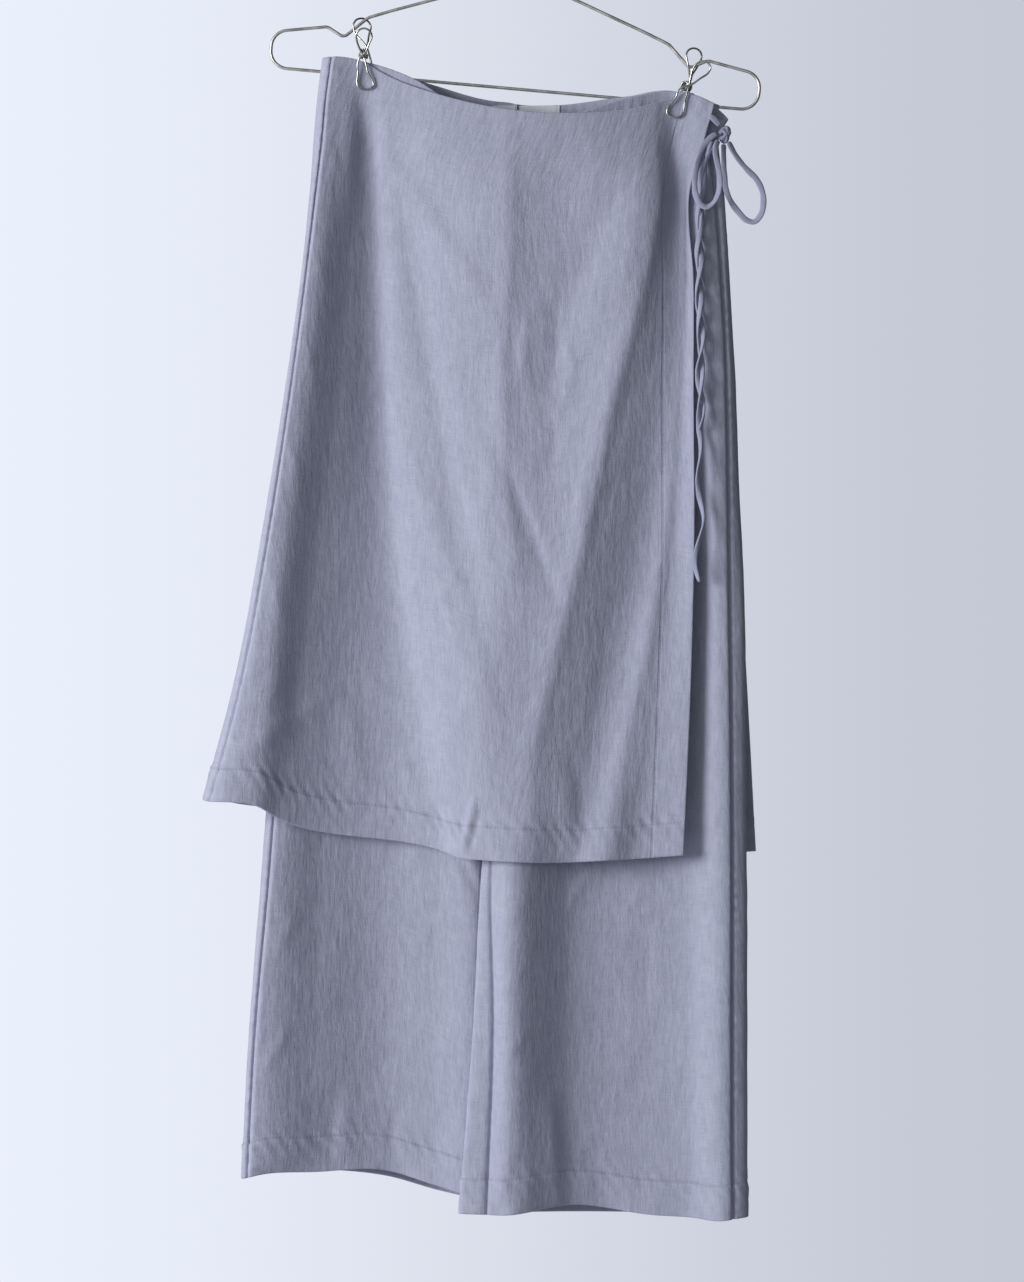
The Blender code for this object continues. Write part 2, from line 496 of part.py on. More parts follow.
def add_hanger(finish):
    """One wire, from the tip of the hook down its shank and once round the frame."""
    right_side = (
        ((0, 91), 3), ((49.4, 73.3), 60), ((102.5, 54), 30), ((121.4, 46.6), 12),
        ((139.6, 29), 5), ((153.5, 36.4), 6), ((197, 28.6), 13.6), ((197, 0), 14),
    )
    hook_radius = HOOK_INNER_RADIUS + HANGER_WIRE / 2
    hook_middle = HOOK_HEIGHT - HOOK_INNER_RADIUS
    corners = []
    for step in range(13):
        angle = math.radians(195 - 20 * step)
        corners.append(((hook_radius * math.cos(angle),
                         hook_middle + hook_radius * math.sin(angle)), 3))
    corners += [((0, 116), 12)] + list(right_side)
    corners += [((-u, v), radius) for (u, v), radius in reversed(right_side[1:])]
    corners.append(((-3.4, 89.8), 0))
    flat = bent([((u, 0, v - HOOK_HEIGHT), radius) for (u, v), radius in corners])
    tilted = [(p.x * math.cos(HANGER_TILT) - p.z * math.sin(HANGER_TILT), 0,
               p.x * math.sin(HANGER_TILT) + p.z * math.cos(HANGER_TILT)) for p in flat]
    add_tube("hanger", tilted, HANGER_WIRE, finish)


def add_clip(clip, finish):
    """Two wire levers, each with a ring above and a jaw below, on either side of a coil."""
    def placed(right, down, towards):
        return (clip.across + right, CLIP_DEPTH - towards, -clip.drop - down)

    for name, lever in (("front_lever", clip.front_lever), ("back_lever", clip.back_lever)):
        add_tube(f"clip_{clip.side}_{name}", [placed(*corner) for corner in lever], CLIP_WIRE,
                 finish, closed=True, rings=1)
    yaw = math.radians(clip.yaw)
    coil = []
    for share in np.linspace(0, 1, round(CLIP_COIL_TURNS * 9) + 1):
        angle = share * CLIP_COIL_TURNS * 2 * math.pi
        along = (share - 0.5) * CLIP_COIL_WIDTH
        away = CLIP_COIL_RADIUS * math.cos(angle)
        coil.append(placed(along * math.cos(yaw) + away * math.sin(yaw),
                           CLIP_COIL_RADIUS * math.sin(angle),
                           away * math.cos(yaw) - along * math.sin(yaw)))
    add_tube(f"clip_{clip.side}_coil", coil, CLIP_WIRE, finish, rings=1)


def cord_route(route, spacing):
    """Evenly spaced points on a smooth curve through a route of across, drop and depth."""
    points = np.array([(across, depth, -drop) for across, drop, depth in route], float)
    chords = np.linalg.norm(np.diff(points, axis=0), axis=1)
    places = np.concatenate([[0], np.cumsum(chords)])
    count = max(2, round(places[-1] / spacing) + 1)
    return curve_through(places, points, np.linspace(0, places[-1], count))


def add_ties(finish):
    """Bow at the open side: a knot, two loops, two tails and the two roots on the skirt's corners."""
    spacing = 2.2 * TIE_WIDTH
    for name, route in (("left_loop", LEFT_LOOP), ("right_loop", RIGHT_LOOP),
                        ("front_root", FRONT_TIE_ROOT), ("back_root", BACK_TIE_ROOT)):
        add_tube(f"tie_{name}", cord_route(route, spacing if "loop" in name else TIE_WIDTH),
                 TIE_WIDTH, finish)
    middle = cord_route(TAILS_ROUTE, spacing)
    for name, start, end in (("long_tail", 0, 1e4), ("short_tail", math.pi, SHORT_TAIL_END)):
        tail = []
        for across, depth, height in middle:
            angle = start + 2 * math.pi * (height + TAILS_ROUTE[0][1]) / TAIL_TWIST_PITCH
            if -height < end:
                tail.append((across + TAIL_TWIST_RADIUS * math.cos(angle),
                             depth + TAIL_TWIST_RADIUS * math.sin(angle), height))
        add_tube(f"tie_{name}", tail, TIE_WIDTH, finish)
    mesh = bmesh.new()
    bmesh.ops.create_icosphere(mesh, subdivisions=2, radius=1.0)
    across, drop, depth = KNOT_CENTRE
    wide, tall, deep = KNOT_RADII
    for vert in mesh.verts:
        vert.co = Vector((across + wide * vert.co.x, depth + deep * vert.co.y,
                          -drop + tall * vert.co.z)) * MM
    data = bpy.data.meshes.new("tie_knot")
    mesh.to_mesh(data)
    mesh.free()
    data.shade_smooth()
    add_object("tie_knot", data, finish)


for leftover in list(bpy.data.objects):
    bpy.data.objects.remove(leftover)

cloth = material("slubby grey-lavender cloth", CLOTH_COLOUR, 0.85)
tape = material("tie tape", TAPE_COLOUR, 0.8)
woven = material("woven label", LABEL_COLOUR, 0.7)
steel = material("stainless wire", STEEL_COLOUR, 0.25, 1.0)

add_leg("right", RIGHT_LEG_FRONT, RIGHT_LEG_BACK, cloth)
add_leg("left", LEFT_LEG_FRONT, LEFT_LEG_BACK, cloth)
add_overskirt(cloth)
add_waist_label(woven)
add_ties(tape)
add_hanger(steel)
for each_clip in CLIPS:
    add_clip(each_clip, steel)
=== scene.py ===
import math
from collections import namedtuple

import bpy
import numpy as np
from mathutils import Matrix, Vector


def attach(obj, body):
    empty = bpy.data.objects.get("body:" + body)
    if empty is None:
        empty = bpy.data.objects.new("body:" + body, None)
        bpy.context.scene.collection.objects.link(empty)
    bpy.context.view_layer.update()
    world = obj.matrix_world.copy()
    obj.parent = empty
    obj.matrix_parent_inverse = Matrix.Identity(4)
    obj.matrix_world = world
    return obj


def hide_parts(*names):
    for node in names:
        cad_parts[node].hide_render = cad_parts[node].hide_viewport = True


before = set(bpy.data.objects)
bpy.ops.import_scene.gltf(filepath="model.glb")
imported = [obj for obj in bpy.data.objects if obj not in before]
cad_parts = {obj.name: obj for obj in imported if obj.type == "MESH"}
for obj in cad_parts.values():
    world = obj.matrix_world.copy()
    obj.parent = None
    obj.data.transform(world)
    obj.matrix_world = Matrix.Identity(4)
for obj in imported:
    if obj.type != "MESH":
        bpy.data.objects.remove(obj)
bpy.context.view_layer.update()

for thing in bpy.context.selected_objects:
    thing.select_set(False)

# ----------------------------------------
# Camera: level and square to the garment's front, a portrait lens from across the room. The
# frame is 1.026 m tall at the cloth, and the hook of the hanger is above its top edge.
MM = 0.001
CAMERA_AWAY = 4.2
CLOTH_PLANE = -0.022
VIEW_TALL = 1.0256

camera = bpy.data.objects.new("camera", bpy.data.cameras.new("camera"))
camera.data.lens = camera.data.sensor_width * CAMERA_AWAY / VIEW_TALL
camera.location = (-0.016, CLOTH_PLANE - CAMERA_AWAY, -0.6104)
camera.rotation_euler = (math.radians(90), 0, 0)
bpy.context.scene.collection.objects.link(camera)
bpy.context.scene.camera = camera

# ----------------------------------------
# Ties: two narrow strips of the garment's own linen blend, each sewn into a tube, turned and
# pressed flat. They are sewn to the free corners of the wrap and tied in a bow, and both tails
# hang inside the left loop, wound loosely round each other.
TIE_WIDE = 4.7
TIE_THICK = 1.9
TAIL_SIZES = (4.2, 2.1)
KNOT_SIZES = (4.4, 3.2)
KNOT_CENTRE = (153.6, 205.0, -21.6)
TAIL_TWIST_RADIUS = 2.1
TAIL_TWIST_PITCH = 62.0
TAIL_FLAT_TURN = 210
TAIL_ENDS = {"long": math.inf, "short": 442.0}

# Points round a tape, how square its section is, the spacing of the rings along it, the rings of
# each wrap of the knot, and the spacing of a loop's declared path.
TAPE_SIDES = 14
TAPE_SQUARENESS = 0.8
LOOP_STEP = 1.6
ROOT_STEP = 1.2
TAIL_STEP = 1.9
KNOT_RINGS = 40
CORD_STEP = 3

# Routes are listed points: across, drop below the hook, depth, in millimetres.
LEFT_LOOP = (
    (147.4, 204.6, -22.8), (143.4, 207.4, -25), (138, 213.2, -27.4), (133, 225, -28.8),
    (130, 241, -30), (130.6, 254, -31.4), (134.4, 261.6, -32.4), (139.2, 264.2, -32.4),
    (144, 261.4, -32), (148.2, 254.4, -31), (149.9, 242.4, -29.6), (148.6, 231, -28.6),
    (146.6, 220, -27.6), (147.2, 214, -26.4), (149, 210.4, -23.8),
)
RIGHT_LOOP = (
    (157.2, 211.4, -22), (163, 221.8, -21.4), (171.8, 232.8, -20.6), (179.5, 240.6, -20),
    (184.3, 250.3, -19.6), (185.3, 260, -19.4), (183.4, 268.7, -19.4), (177.6, 275, -19.6),
    (171.8, 273.6, -19.8), (165.9, 267.8, -20), (160, 260, -20.2), (155.6, 250.3, -20.4),
    (153.9, 238.7, -20.6), (153.4, 226.1, -20.8), (153.3, 213.2, -21),
)
TAILS_ROUTE = (
    (145.6, 210.2, -19.6), (143.6, 215, -21), (140.4, 223, -22.6), (137.6, 233, -23.6),
    (136, 246, -24.4), (134.8, 260, -25.4), (133.6, 284, -28), (133.4, 312, -30.2),
    (133.2, 344, -32), (134.6, 372, -33.4), (133.8, 400, -35), (134.8, 428, -36.4),
    (132.8, 448, -37.4), (132, 470, -38.6), (134.8, 494, -39.8), (135.4, 508, -40.4),
    (132, 530, -41.4), (131.2, 544, -42), (134, 563, -42.6),
)
FRONT_TIE_ROOT = ((142.8, 190.5, -24.4), (146.4, 194, -24.8), (150, 197.8, -23.8))
BACK_TIE_ROOT = (
    (153.2, 206.8, -6.4), (156.4, 206.4, -9.6), (157.6, 205.8, -13), (156.8, 205.2, -16.6),
)


def curve_through(knots, values, at):
    """Smooth curve through values at knots, straight past the first and the last."""
    knots, values, at = (np.asarray(item, float) for item in (knots, values, at))
    flat = values.reshape(len(knots), -1)
    slopes = np.gradient(flat, knots, axis=0)
    inside = np.clip(at, knots[0], knots[-1])
    span = np.clip(np.searchsorted(knots, inside) - 1, 0, len(knots) - 2)
    step = (knots[span + 1] - knots[span])[:, None]
    share = (inside - knots[span])[:, None] / step
    curve = flat[span] * (2 * share**3 - 3 * share**2 + 1)
    curve += slopes[span] * step * (share**3 - 2 * share**2 + share)
    curve += flat[span + 1] * (3 * share**2 - 2 * share**3)
    curve += slopes[span + 1] * step * (share**3 - share**2)
    curve += slopes[np.where(at < knots[0], 0, -1)] * (at - inside)[:, None]
    return curve.reshape(len(at), *values.shape[1:])


def along(points):
    """Distance of each point of a path from its start."""
    return np.concatenate([[0], np.cumsum(np.linalg.norm(np.diff(points, axis=0), axis=1))])


def cord_route(route, spacing):
    """Evenly spaced points on a smooth curve through a route of across, drop and depth."""
    points = np.array([(across, depth, -drop) for across, drop, depth in route], float)
    places = along(points)
    count = max(2, round(places[-1] / spacing) + 1)
    return curve_through(places, points, np.linspace(0, places[-1], count))


def mesh_object(name, points, faces, uvs, finish):
    """A smooth object from points in millimetres, with one pair of UV metres to each point."""
    data = bpy.data.meshes.new(name)
    data.from_pydata((np.asarray(points, float) * MM).tolist(), [], faces)
    corners = np.empty(len(data.loops), np.int64)
    data.loops.foreach_get("vertex_index", corners)
    for layer, pairs in uvs.items():
        data.uv_layers.new(name=layer).data.foreach_set("uv", np.asarray(pairs)[corners].ravel())
    data.shade_smooth()
    data.materials.append(finish)
    made = bpy.data.objects.new(name, data)
    bpy.context.scene.collection.objects.link(made)
    return made


def frames_along(path, first_side, closed):
    """Unit tangents of a path, and two ways square to them that follow it without twisting."""
    if closed:
        tangents = np.roll(path, -1, axis=0) - np.roll(path, 1, axis=0)
    else:
        tangents = np.gradient(path, axis=0)
    tangents /= np.maximum(np.linalg.norm(tangents, axis=1, keepdims=True), 1e-9)
    side = np.array(first_side, float)
    ways = []
    for tangent in tangents:
        side = side - tangent * side.dot(tangent)
        side /= np.linalg.norm(side)
        ways.append(side)
    return tangents, np.array(ways), np.cross(tangents, ways)


def tube_faces(count, sides, closed):
    """Faces between the rings of a tube."""
    return [(row * sides + column, row * sides + (column + 1) % sides,
             (row + 1) % count * sides + (column + 1) % sides, (row + 1) % count * sides + column)
            for row in range(count if closed else count - 1) for column in range(sides)]


def add_tape(name, path, first_side, twist, finish, closed=False, sizes=(TIE_WIDE, TIE_THICK)):
    """Soft flat tube along a path. first_side is its wide way at the start, twist its turns."""
    path = np.asarray(path, float)
    tangents, wide_ways, thin_ways = frames_along(path, first_side, closed)
    places = along(path)
    turn = np.radians(np.interp(places / places[-1], *zip(*twist)))[:, None]
    wide_ways, thin_ways = (wide_ways * np.cos(turn) + thin_ways * np.sin(turn),
                            thin_ways * np.cos(turn) - wide_ways * np.sin(turn))
    round_it = np.linspace(0, 2 * math.pi, TAPE_SIDES, endpoint=False)
    wide, thin = (np.sign(part) * np.abs(part) ** TAPE_SQUARENESS * size / 2
                  for part, size in zip((np.cos(round_it), np.sin(round_it)), sizes))
    uneven = 1 + 0.05 * np.sin(places / 4.7 + 1) + 0.04 * np.sin(places / 2.1)
    if not closed:
        uneven[[0, -1]] *= 0.82
    rings = (path[:, None] + wide_ways[:, None] * (uneven[:, None] * wide)[:, :, None]
             + thin_ways[:, None] * (uneven[:, None] * thin)[:, :, None])
    count = len(path)
    points = rings.reshape(-1, 3)
    faces = tube_faces(count, TAPE_SIDES, closed)
    across = np.tile(np.abs(np.linspace(-1, 1, TAPE_SIDES)) * sum(sizes) / 2, (count, 1))
    flat = np.stack([across, np.tile(places[:, None], (1, TAPE_SIDES))], axis=2).reshape(-1, 2)
    if not closed:
        points = np.concatenate([points, [path[0] - tangents[0] * 0.5,
                                          path[-1] + tangents[-1] * 0.5]])
        flat = np.concatenate([flat, [[0, 0], [0, places[-1]]]])
        last, middle = (count - 1) * TAPE_SIDES, count * TAPE_SIDES
        for column in range(TAPE_SIDES):
            after = (column + 1) % TAPE_SIDES
            faces += [(middle, after, column), (middle + 1, last + column, last + after)]
    made = mesh_object(name, points, faces, {"cloth": flat * MM}, finish)
    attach(made, "root")
    return made


def linear(colour):
    """Linear RGBA of an sRGB hex colour."""
    channels = [int(colour[start:start + 2], 16) / 255 for start in (1, 3, 5)]
    return (*[c / 12.92 if c <= 0.04045 else ((c + 0.055) / 1.055) ** 2.4 for c in channels], 1.0)


def add_node(tree, kind, settings=(), inputs=()):
    """A node with its settings, by property or input name, and a source or number for inputs."""
    made = tree.nodes.new(kind)
    for name, value in dict(settings).items():
        if isinstance(name, str) and hasattr(made, name):
            setattr(made, name, value)
        else:
            made.inputs[name].default_value = value
    for name, source in dict(inputs).items():
        if isinstance(source, bpy.types.NodeSocket):
            tree.links.new(source, made.inputs[name])
        else:
            made.inputs[name].default_value = source
    return made


def new_material(name, settings):
    """A node material with these inputs of its shader set, its tree and its shader."""
    made = bpy.data.materials.new(name)
    made.use_nodes = True
    shader = made.node_tree.nodes["Principled BSDF"]
    for key, value in settings.items():
        shader.inputs[key].default_value = value
    return made, made.node_tree, shader


# Slubby linen blend, plain weave, piece-dyed grey-lavender and washed. Thick and thin places in
# the yarn show as soft upright streaks with shorter level ones between, over a matt, faintly
# hairy surface. The yarns of the weave are drawn coarser than real ones, so that they show. The
# UV map "cloth" runs across and down the cloth in metres.
CLOTH_LIGHT = "#B6BACF"
CLOTH_DARK = "#9296AD"
CLOTH_LINT = "#C7CADB"
YARN_MM = 0.55
SLUB_MM = (0.9, 17.0)
PICK_MM = (16.0, 0.8)
MOTTLE_MM = (7.0, 11.9)
BROAD_MM = (22.0, 60.0)
CRINKLES = (((5.0, 17.0), 0.25), ((6.0, 21.0), -0.22))
# Topstitching: stitch length, the groove beside it (pressed in and darkened as painted shade), and
# its thread.
STITCH_MM = 2.9
STITCH_GROOVE_MM = (0.0, 1.7)
THREAD_MM = (0.15, 0.55)


def linen(name, light, dark, stitched=()):
    """Linen material. stitched: topstitching with painted shade in its groove, per (map axis,
    millimetres).
    """
    made, tree, shader = new_material(name, {"Roughness": 0.88, "Specular IOR Level": 0.25,
                                             "Sheen Weight": 0.22, "Sheen Roughness": 0.5})
    place = add_node(tree, "ShaderNodeUVMap", {"uv_map": "cloth"}).outputs["UV"]

    def streaks(size, detail, turn=0.0):
        """Uneven streaks of this width and length, from about -0.5 to 0.5."""
        stretched = add_node(tree, "ShaderNodeMapping",
                             {"Scale": (1000 / size[0], 1000 / size[1], 1.0),
                              "Rotation": (0, 0, turn)}, {"Vector": place})
        noise = add_node(tree, "ShaderNodeTexNoise",
                         {"noise_dimensions": "2D", "Scale": 1.0, "Detail": detail,
                          "Roughness": 0.6}, {"Vector": stretched.outputs[0]})
        return add_node(tree, "ShaderNodeMath", {"operation": "SUBTRACT"},
                        {0: noise.outputs["Fac"], 1: 0.5}).outputs[0]

    def waves(distance, pitch_mm):
        """A wave from -1 to 1 along a distance in metres."""
        turned = add_node(tree, "ShaderNodeMath", {"operation": "MULTIPLY"},
                          {0: distance, 1: 2 * math.pi / (pitch_mm * MM)})
        return add_node(tree, "ShaderNodeMath", {"operation": "SINE"},
                        {0: turned.outputs[0]}).outputs[0]

    def layered(base, *layers):
        """A base with each pattern added to it by its weight."""
        for pattern, weight in layers:
            base = add_node(tree, "ShaderNodeMath", {"operation": "MULTIPLY_ADD"},
                            {0: pattern, 1: weight, 2: base}).outputs[0]
        return base

    slubs = streaks(SLUB_MM, 3.0)
    picks = streaks(PICK_MM, 3.0)
    mottle = streaks(MOTTLE_MM, 4.0)
    crinkle = add_node(tree, "ShaderNodeMath", {"operation": "ADD"},
                       {number: streaks(size, 3.0, turn)
                        for number, (size, turn) in enumerate(CRINKLES)}).outputs[0]
    broad = streaks(BROAD_MM, 2.0)
    yarn = add_node(tree, "ShaderNodeSeparateXYZ", (), {0: place})
    warp = waves(yarn.outputs["X"], 2 * YARN_MM)
    weft = waves(yarn.outputs["Y"], 2 * YARN_MM)
    weave = add_node(tree, "ShaderNodeMath", {"operation": "MULTIPLY"},
                     {0: warp, 1: weft}).outputs[0]

    # How much each pattern lightens the cloth, and how much it raises it.
    shade = layered(0.55, (slubs, 0.62), (picks, 0.58), (mottle, 0.45), (broad, 0.25),
                    (weave, 0.1))
    shade.node.use_clamp = True
    height = layered(0.0, (slubs, 0.25), (picks, 0.27), (mottle, 0.3), (crinkle, 1.1),
                     (weave, 0.05))
    if stitched:
        edges = add_node(tree, "ShaderNodeUVMap", {"uv_map": "edges"}).outputs["UV"]
        edge_ways = add_node(tree, "ShaderNodeSeparateXYZ", (), {0: edges})
    for axis, distance in stitched:
        beside = add_node(tree, "ShaderNodeMath", {"operation": "SUBTRACT"},
                          {0: edge_ways.outputs[axis], 1: distance * MM})
        off = add_node(tree, "ShaderNodeMath", {"operation": "ABSOLUTE"}, {0: beside.outputs[0]})
        groove, thread = (add_node(tree, "ShaderNodeMapRange", {
            "interpolation_type": "SMOOTHSTEP", "From Min": near * MM, "From Max": far * MM,
            "To Min": 1.0, "To Max": 0.0}, {"Value": off.outputs[0]}).outputs[0]
            for near, far in (STITCH_GROOVE_MM, THREAD_MM))
        stitches = waves(yarn.outputs["Y" if axis == "X" else "X"], STITCH_MM)
        stitches = add_node(tree, "ShaderNodeMath",
                            {"operation": "MULTIPLY_ADD", "use_clamp": True},
                            {0: stitches, 1: 1.6, 2: 0.7})
        thread = add_node(tree, "ShaderNodeMath", {"operation": "MULTIPLY"},
                          {0: thread, 1: stitches.outputs[0]}).outputs[0]
        # The groove is pressed in and darkened as painted shade; the thread is raised and lighter.
        height = layered(height, (groove, -0.75), (thread, 0.5))
        shade = layered(shade, (groove, -0.28), (thread, 0.3))
        shade.node.use_clamp = True
    colour = add_node(tree, "ShaderNodeValToRGB", (), {0: shade})
    ramp = colour.color_ramp
    ramp.elements[0].color, ramp.elements[1].color = linear(dark), linear(light)
    ramp.elements[0].position, ramp.elements[1].position = 0.0, 0.86
    ramp.elements.new(1.0).color = linear(CLOTH_LINT)
    bump = add_node(tree, "ShaderNodeBump", {"Strength": 0.6, "Distance": 0.75 * MM},
                    {"Height": height})
    tree.links.new(colour.outputs[0], shader.inputs["Base Color"])
    tree.links.new(bump.outputs[0], shader.inputs["Normal"])
    return made


tie_cloth = linen("turned linen tie", "#AEB3CA", "#878CA6")
# A darker copy of the tie linen for the knot: painted shade, not a different cloth.
knot_cloth_painted_shade = linen("turned linen tie, painted shade in the knot", "#999EB5", "#71768F")

left_loop = add_tape("tie_left_loop_tape", cord_route(LEFT_LOOP, LOOP_STEP), (-0.4, 0, 1),
                     ((0, 35), (0.2, -12), (0.45, 30), (0.6, -25), (0.85, 18), (1, 50)),
                     tie_cloth)
right_loop = add_tape("tie_right_loop_tape", cord_route(RIGHT_LOOP, LOOP_STEP), (1, 0, 0.5),
                      ((0, -35), (0.2, -12), (0.45, 22), (0.7, -24), (1, 30)), tie_cloth)
front_root = add_tape("tie_front_root_tape", cord_route(FRONT_TIE_ROOT, ROOT_STEP), (0, 0.4, 1),
                      ((0, 0), (1, 30)), tie_cloth)
back_root = add_tape("tie_back_root_tape", cord_route(BACK_TIE_ROOT, ROOT_STEP), (0, 0.2, 1),
                     ((0, 0), (1, -30)), tie_cloth)

tails, tail_tapes = {}, {}
for name, start, flat_side in (("long", 0, 70), ("short", math.pi, 20)):
    tail = []
    for across, depth, height in cord_route(TAILS_ROUTE, TAIL_STEP):
        angle = start + 2 * math.pi * (height + TAILS_ROUTE[0][1]) / TAIL_TWIST_PITCH
        if -height < TAIL_ENDS[name]:
            tail.append((across + TAIL_TWIST_RADIUS * math.cos(angle),
                         depth + TAIL_TWIST_RADIUS * math.sin(angle), height))
    tails[name] = tail
    turns = len(tail) * TAIL_STEP / TAIL_TWIST_PITCH
    tail_tapes[name] = add_tape(f"tie_{name}_tail_tape", tail, (1, 0, 0),
                                ((0, flat_side), (1, flat_side + TAIL_FLAT_TURN * turns)),
                                tie_cloth, sizes=TAIL_SIZES)

# The knot is the front tie wrapped once round the back one and pulled tight; its linen is darker
# as painted shade. Each wrap is a ring with its lean, its lift above the knot's centre, and half
# its size each way.
Wrap = namedtuple("Wrap", "lean lift wide deep tall")
KNOT_WRAPS = (Wrap(0.55, 0.8, 2.53, 2.17, 5.0), Wrap(-0.25, -1.6, 2.365, 2.108, 4.3),
              Wrap(1.1, -0.2, 2.035, 1.612, 4.4))

across, drop, depth = KNOT_CENTRE
wraps = []
for number, wrap in enumerate(KNOT_WRAPS):
    level, upright = math.cos(wrap.lean), math.sin(wrap.lean)
    ring = []
    for angle in np.linspace(0, 2 * math.pi, KNOT_RINGS, endpoint=False):
        out, up = wrap.wide * math.sin(angle), wrap.tall * math.cos(angle)
        ring.append((across + out * level + up * upright,
                     depth - wrap.deep * math.sin(angle + 0.5 * number),
                     -drop + wrap.lift + up * level - out * upright))
    wraps.append(add_tape(f"tie_knot_wrap_{number + 1}", ring, (level, 0.2, -upright),
                          ((0, 0), (1, 0)), knot_cloth_painted_shade, closed=True, sizes=KNOT_SIZES))
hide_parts("tie_knot")
for piece, node in ((left_loop, "tie_left_loop"), (right_loop, "tie_right_loop"),
                    (front_root, "tie_front_root"), (back_root, "tie_back_root"),
                    (tail_tapes["long"], "tie_long_tail"), (tail_tapes["short"], "tie_short_tail")):
    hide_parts(node)


for piece, route, exit_at, far_end, others in (
        (left_loop, cord_route(LEFT_LOOP, CORD_STEP), FRONT_TIE_ROOT[0], "knot",
         [*wraps, front_root, back_root]),
        (right_loop, cord_route(RIGHT_LOOP, CORD_STEP), RIGHT_LOOP[0], "object", []),
        (tail_tapes["long"], tails["long"], TAILS_ROUTE[0], "bare", []),
        (tail_tapes["short"], tails["short"], TAILS_ROUTE[0], "bare", [])):
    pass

# ----------------------------------------
# Culottes: two wide straight legs of the same linen, each cut as a front and a back panel and
# seamed at the side and the inside leg. The hems are turned up 28 mm and topstitched. They hang
# from the clips with the waist pinched, so long soft folds run down from the pinches.

# A Line is a fold, ridge, seam or edge from the waist to the hem, with its own top and hem drops;
# across and depth hold one value for each of its garment's levels, in millimetres.
Line = namedtuple("Line", "name top hem across depth")


def panel_lines(*rows):
    """A panel's Lines, in order round the garment."""
    return tuple(Line(*row) for row in rows)


# Rows of points run down the cloth: some follow the waist, some are level, some follow the hem.
Rows = namedtuple("Rows", "first last spacing hem_zone")

# A row of a crease table is one small fold: how far it stands out of the cloth (in, if negative),
# how wide its flanks are on the viewer's left and right, and its route of across and drop. The
# heights and widths are millimetres, and the routes are steps of CREASE_GRID, smoothed through
# points that lie CREASE_STEP apart.
CREASE_GRID = 0.8
CREASE_STEP = 12

# Half the cloth's thickness, one layer and at the hem, and how its folded edges are rounded.
CLOTH_HALF = 0.6
HEM_HALF = 0.95
HEM_DEEP = 28
HEM_STEP = 0.35
HEM_FOLD = 1.1
SIDE_FOLD = 0.9
THIN_EDGE = 0.12
SEAM_GROOVE = 1.3

# Washed-in rumples: the height, width, length and slant of their patches. They die out towards
# the seams and the waist.
RUMPLES = ((0.275, 26, 70, 0), (0.2, 15, 34, 0.6), (0.11, 9, 17, -0.6))
CALM_BY_SEAM = 9
CALM_BY_WAIST = 45

# Ripples beside a stitched line: their height and pitch, how unevenly they run, how far from the
# edge they are highest, and how fast they die out from there. Then the patches in which they are
# deeper and in which they wander, and how far they slant above the hem.
Pucker = namedtuple("Pucker", "height pitch wander at reach")
HEM_PUCKER = Pucker(0.5, 12.5, 3, 25, 12)
WAIST_PUCKER = Pucker(0.25, 9, 2, 6, 5)
SEAM_PUCKER = Pucker(0.3, 10.5, 2.5, 3.5, 4)
PULL_PATCH = (17, 22)
EDGE_WANDER = (30, 400)
SEAM_WANDER = (40, 40)
HEM_SLANT = 0.75

# Where rows of points lie below the waist and above the hem, and columns beside an edge.
TOP_STEPS = (0, 0.3, 0.8, 1.6, 3, 5)
HEM_STEPS = (34, 32, 30.4, 29.2, 28, 26.8, 25.4, 23.6, 21.4, 19, 16.6, 14.2, 11.8, 9.4, 7, 4.8,
             3, 1.7, 0.8, 0.3, 0)
EDGE_SHARES = (0, 0.008, 0.025, 0.06)

CULOTTE_LEVELS = (145, 175, 205, 250, 320, 400, 450, 482, 560, 680, 790, 920, 1060)
CULOTTE_ROWS = Rows(250, 900, 3.2, 34)
CROTCH_DROP = 482.0

RIGHT_LEG_FRONT = panel_lines(
    ("inseam", 187, 1058,
     (-12, -12, -12, -12, -12, -12, -12, -12, -16, -20, -24, -26, -28),
     (-29.5, -30, -29.5, -28.5, -27.5, -26, -21, -4, 4, 7, 8, 8, 8)),
    ("inner_ridge", 177.5, 1055.5,
     (-66, -66, -65, -64, -62, -60, -60, -60, -56, -49, -44, -43, -47),
     (-23.5, -24.5, -25.5, -26, -26, -25, -24, -24, -22.5, -21, -19.5, -18.5, -18.5)),
    ("inner_slope", 160, 1046,
     (-95, -95, -94, -93, -92, -92, -92, -92, -88, -84, -80, -79, -80),
     (-19.6, -20, -19, -17.5, -17, -16, -15.6, -15.6, -15, -14, -13, -12.5, -12.5)),
    ("valley", 146.5, 1034.8,
     (-133, -133, -133, -132.6, -131.8, -129, -127, -126, -122, -118, -117, -119, -119),
     (-15.2, -15, -12.3, -8, -5.8, -5, -5, -5.5, -8.2, -8.8, -9.6, -10.8, -11.2)),
    ("outer_slope", 144.4, 1035,
     (-145, -146, -147, -148, -150, -152, -154, -155, -156, -160, -164, -169, -172),
     (-15.7, -15.6, -14.6, -12.6, -12, -11.5, -11, -10.5, -10.6, -12, -20.5, -26, -27)),
    ("outer_ridge", 142.6, 1036.5,
     (-157, -158.5, -160, -163, -167, -172, -176, -179, -186, -194, -202, -212.5, -222),
     (-16.4, -16.6, -17, -18, -19, -18.5, -17.5, -17, -17.5, -23.4, -36, -42, -42)),
)
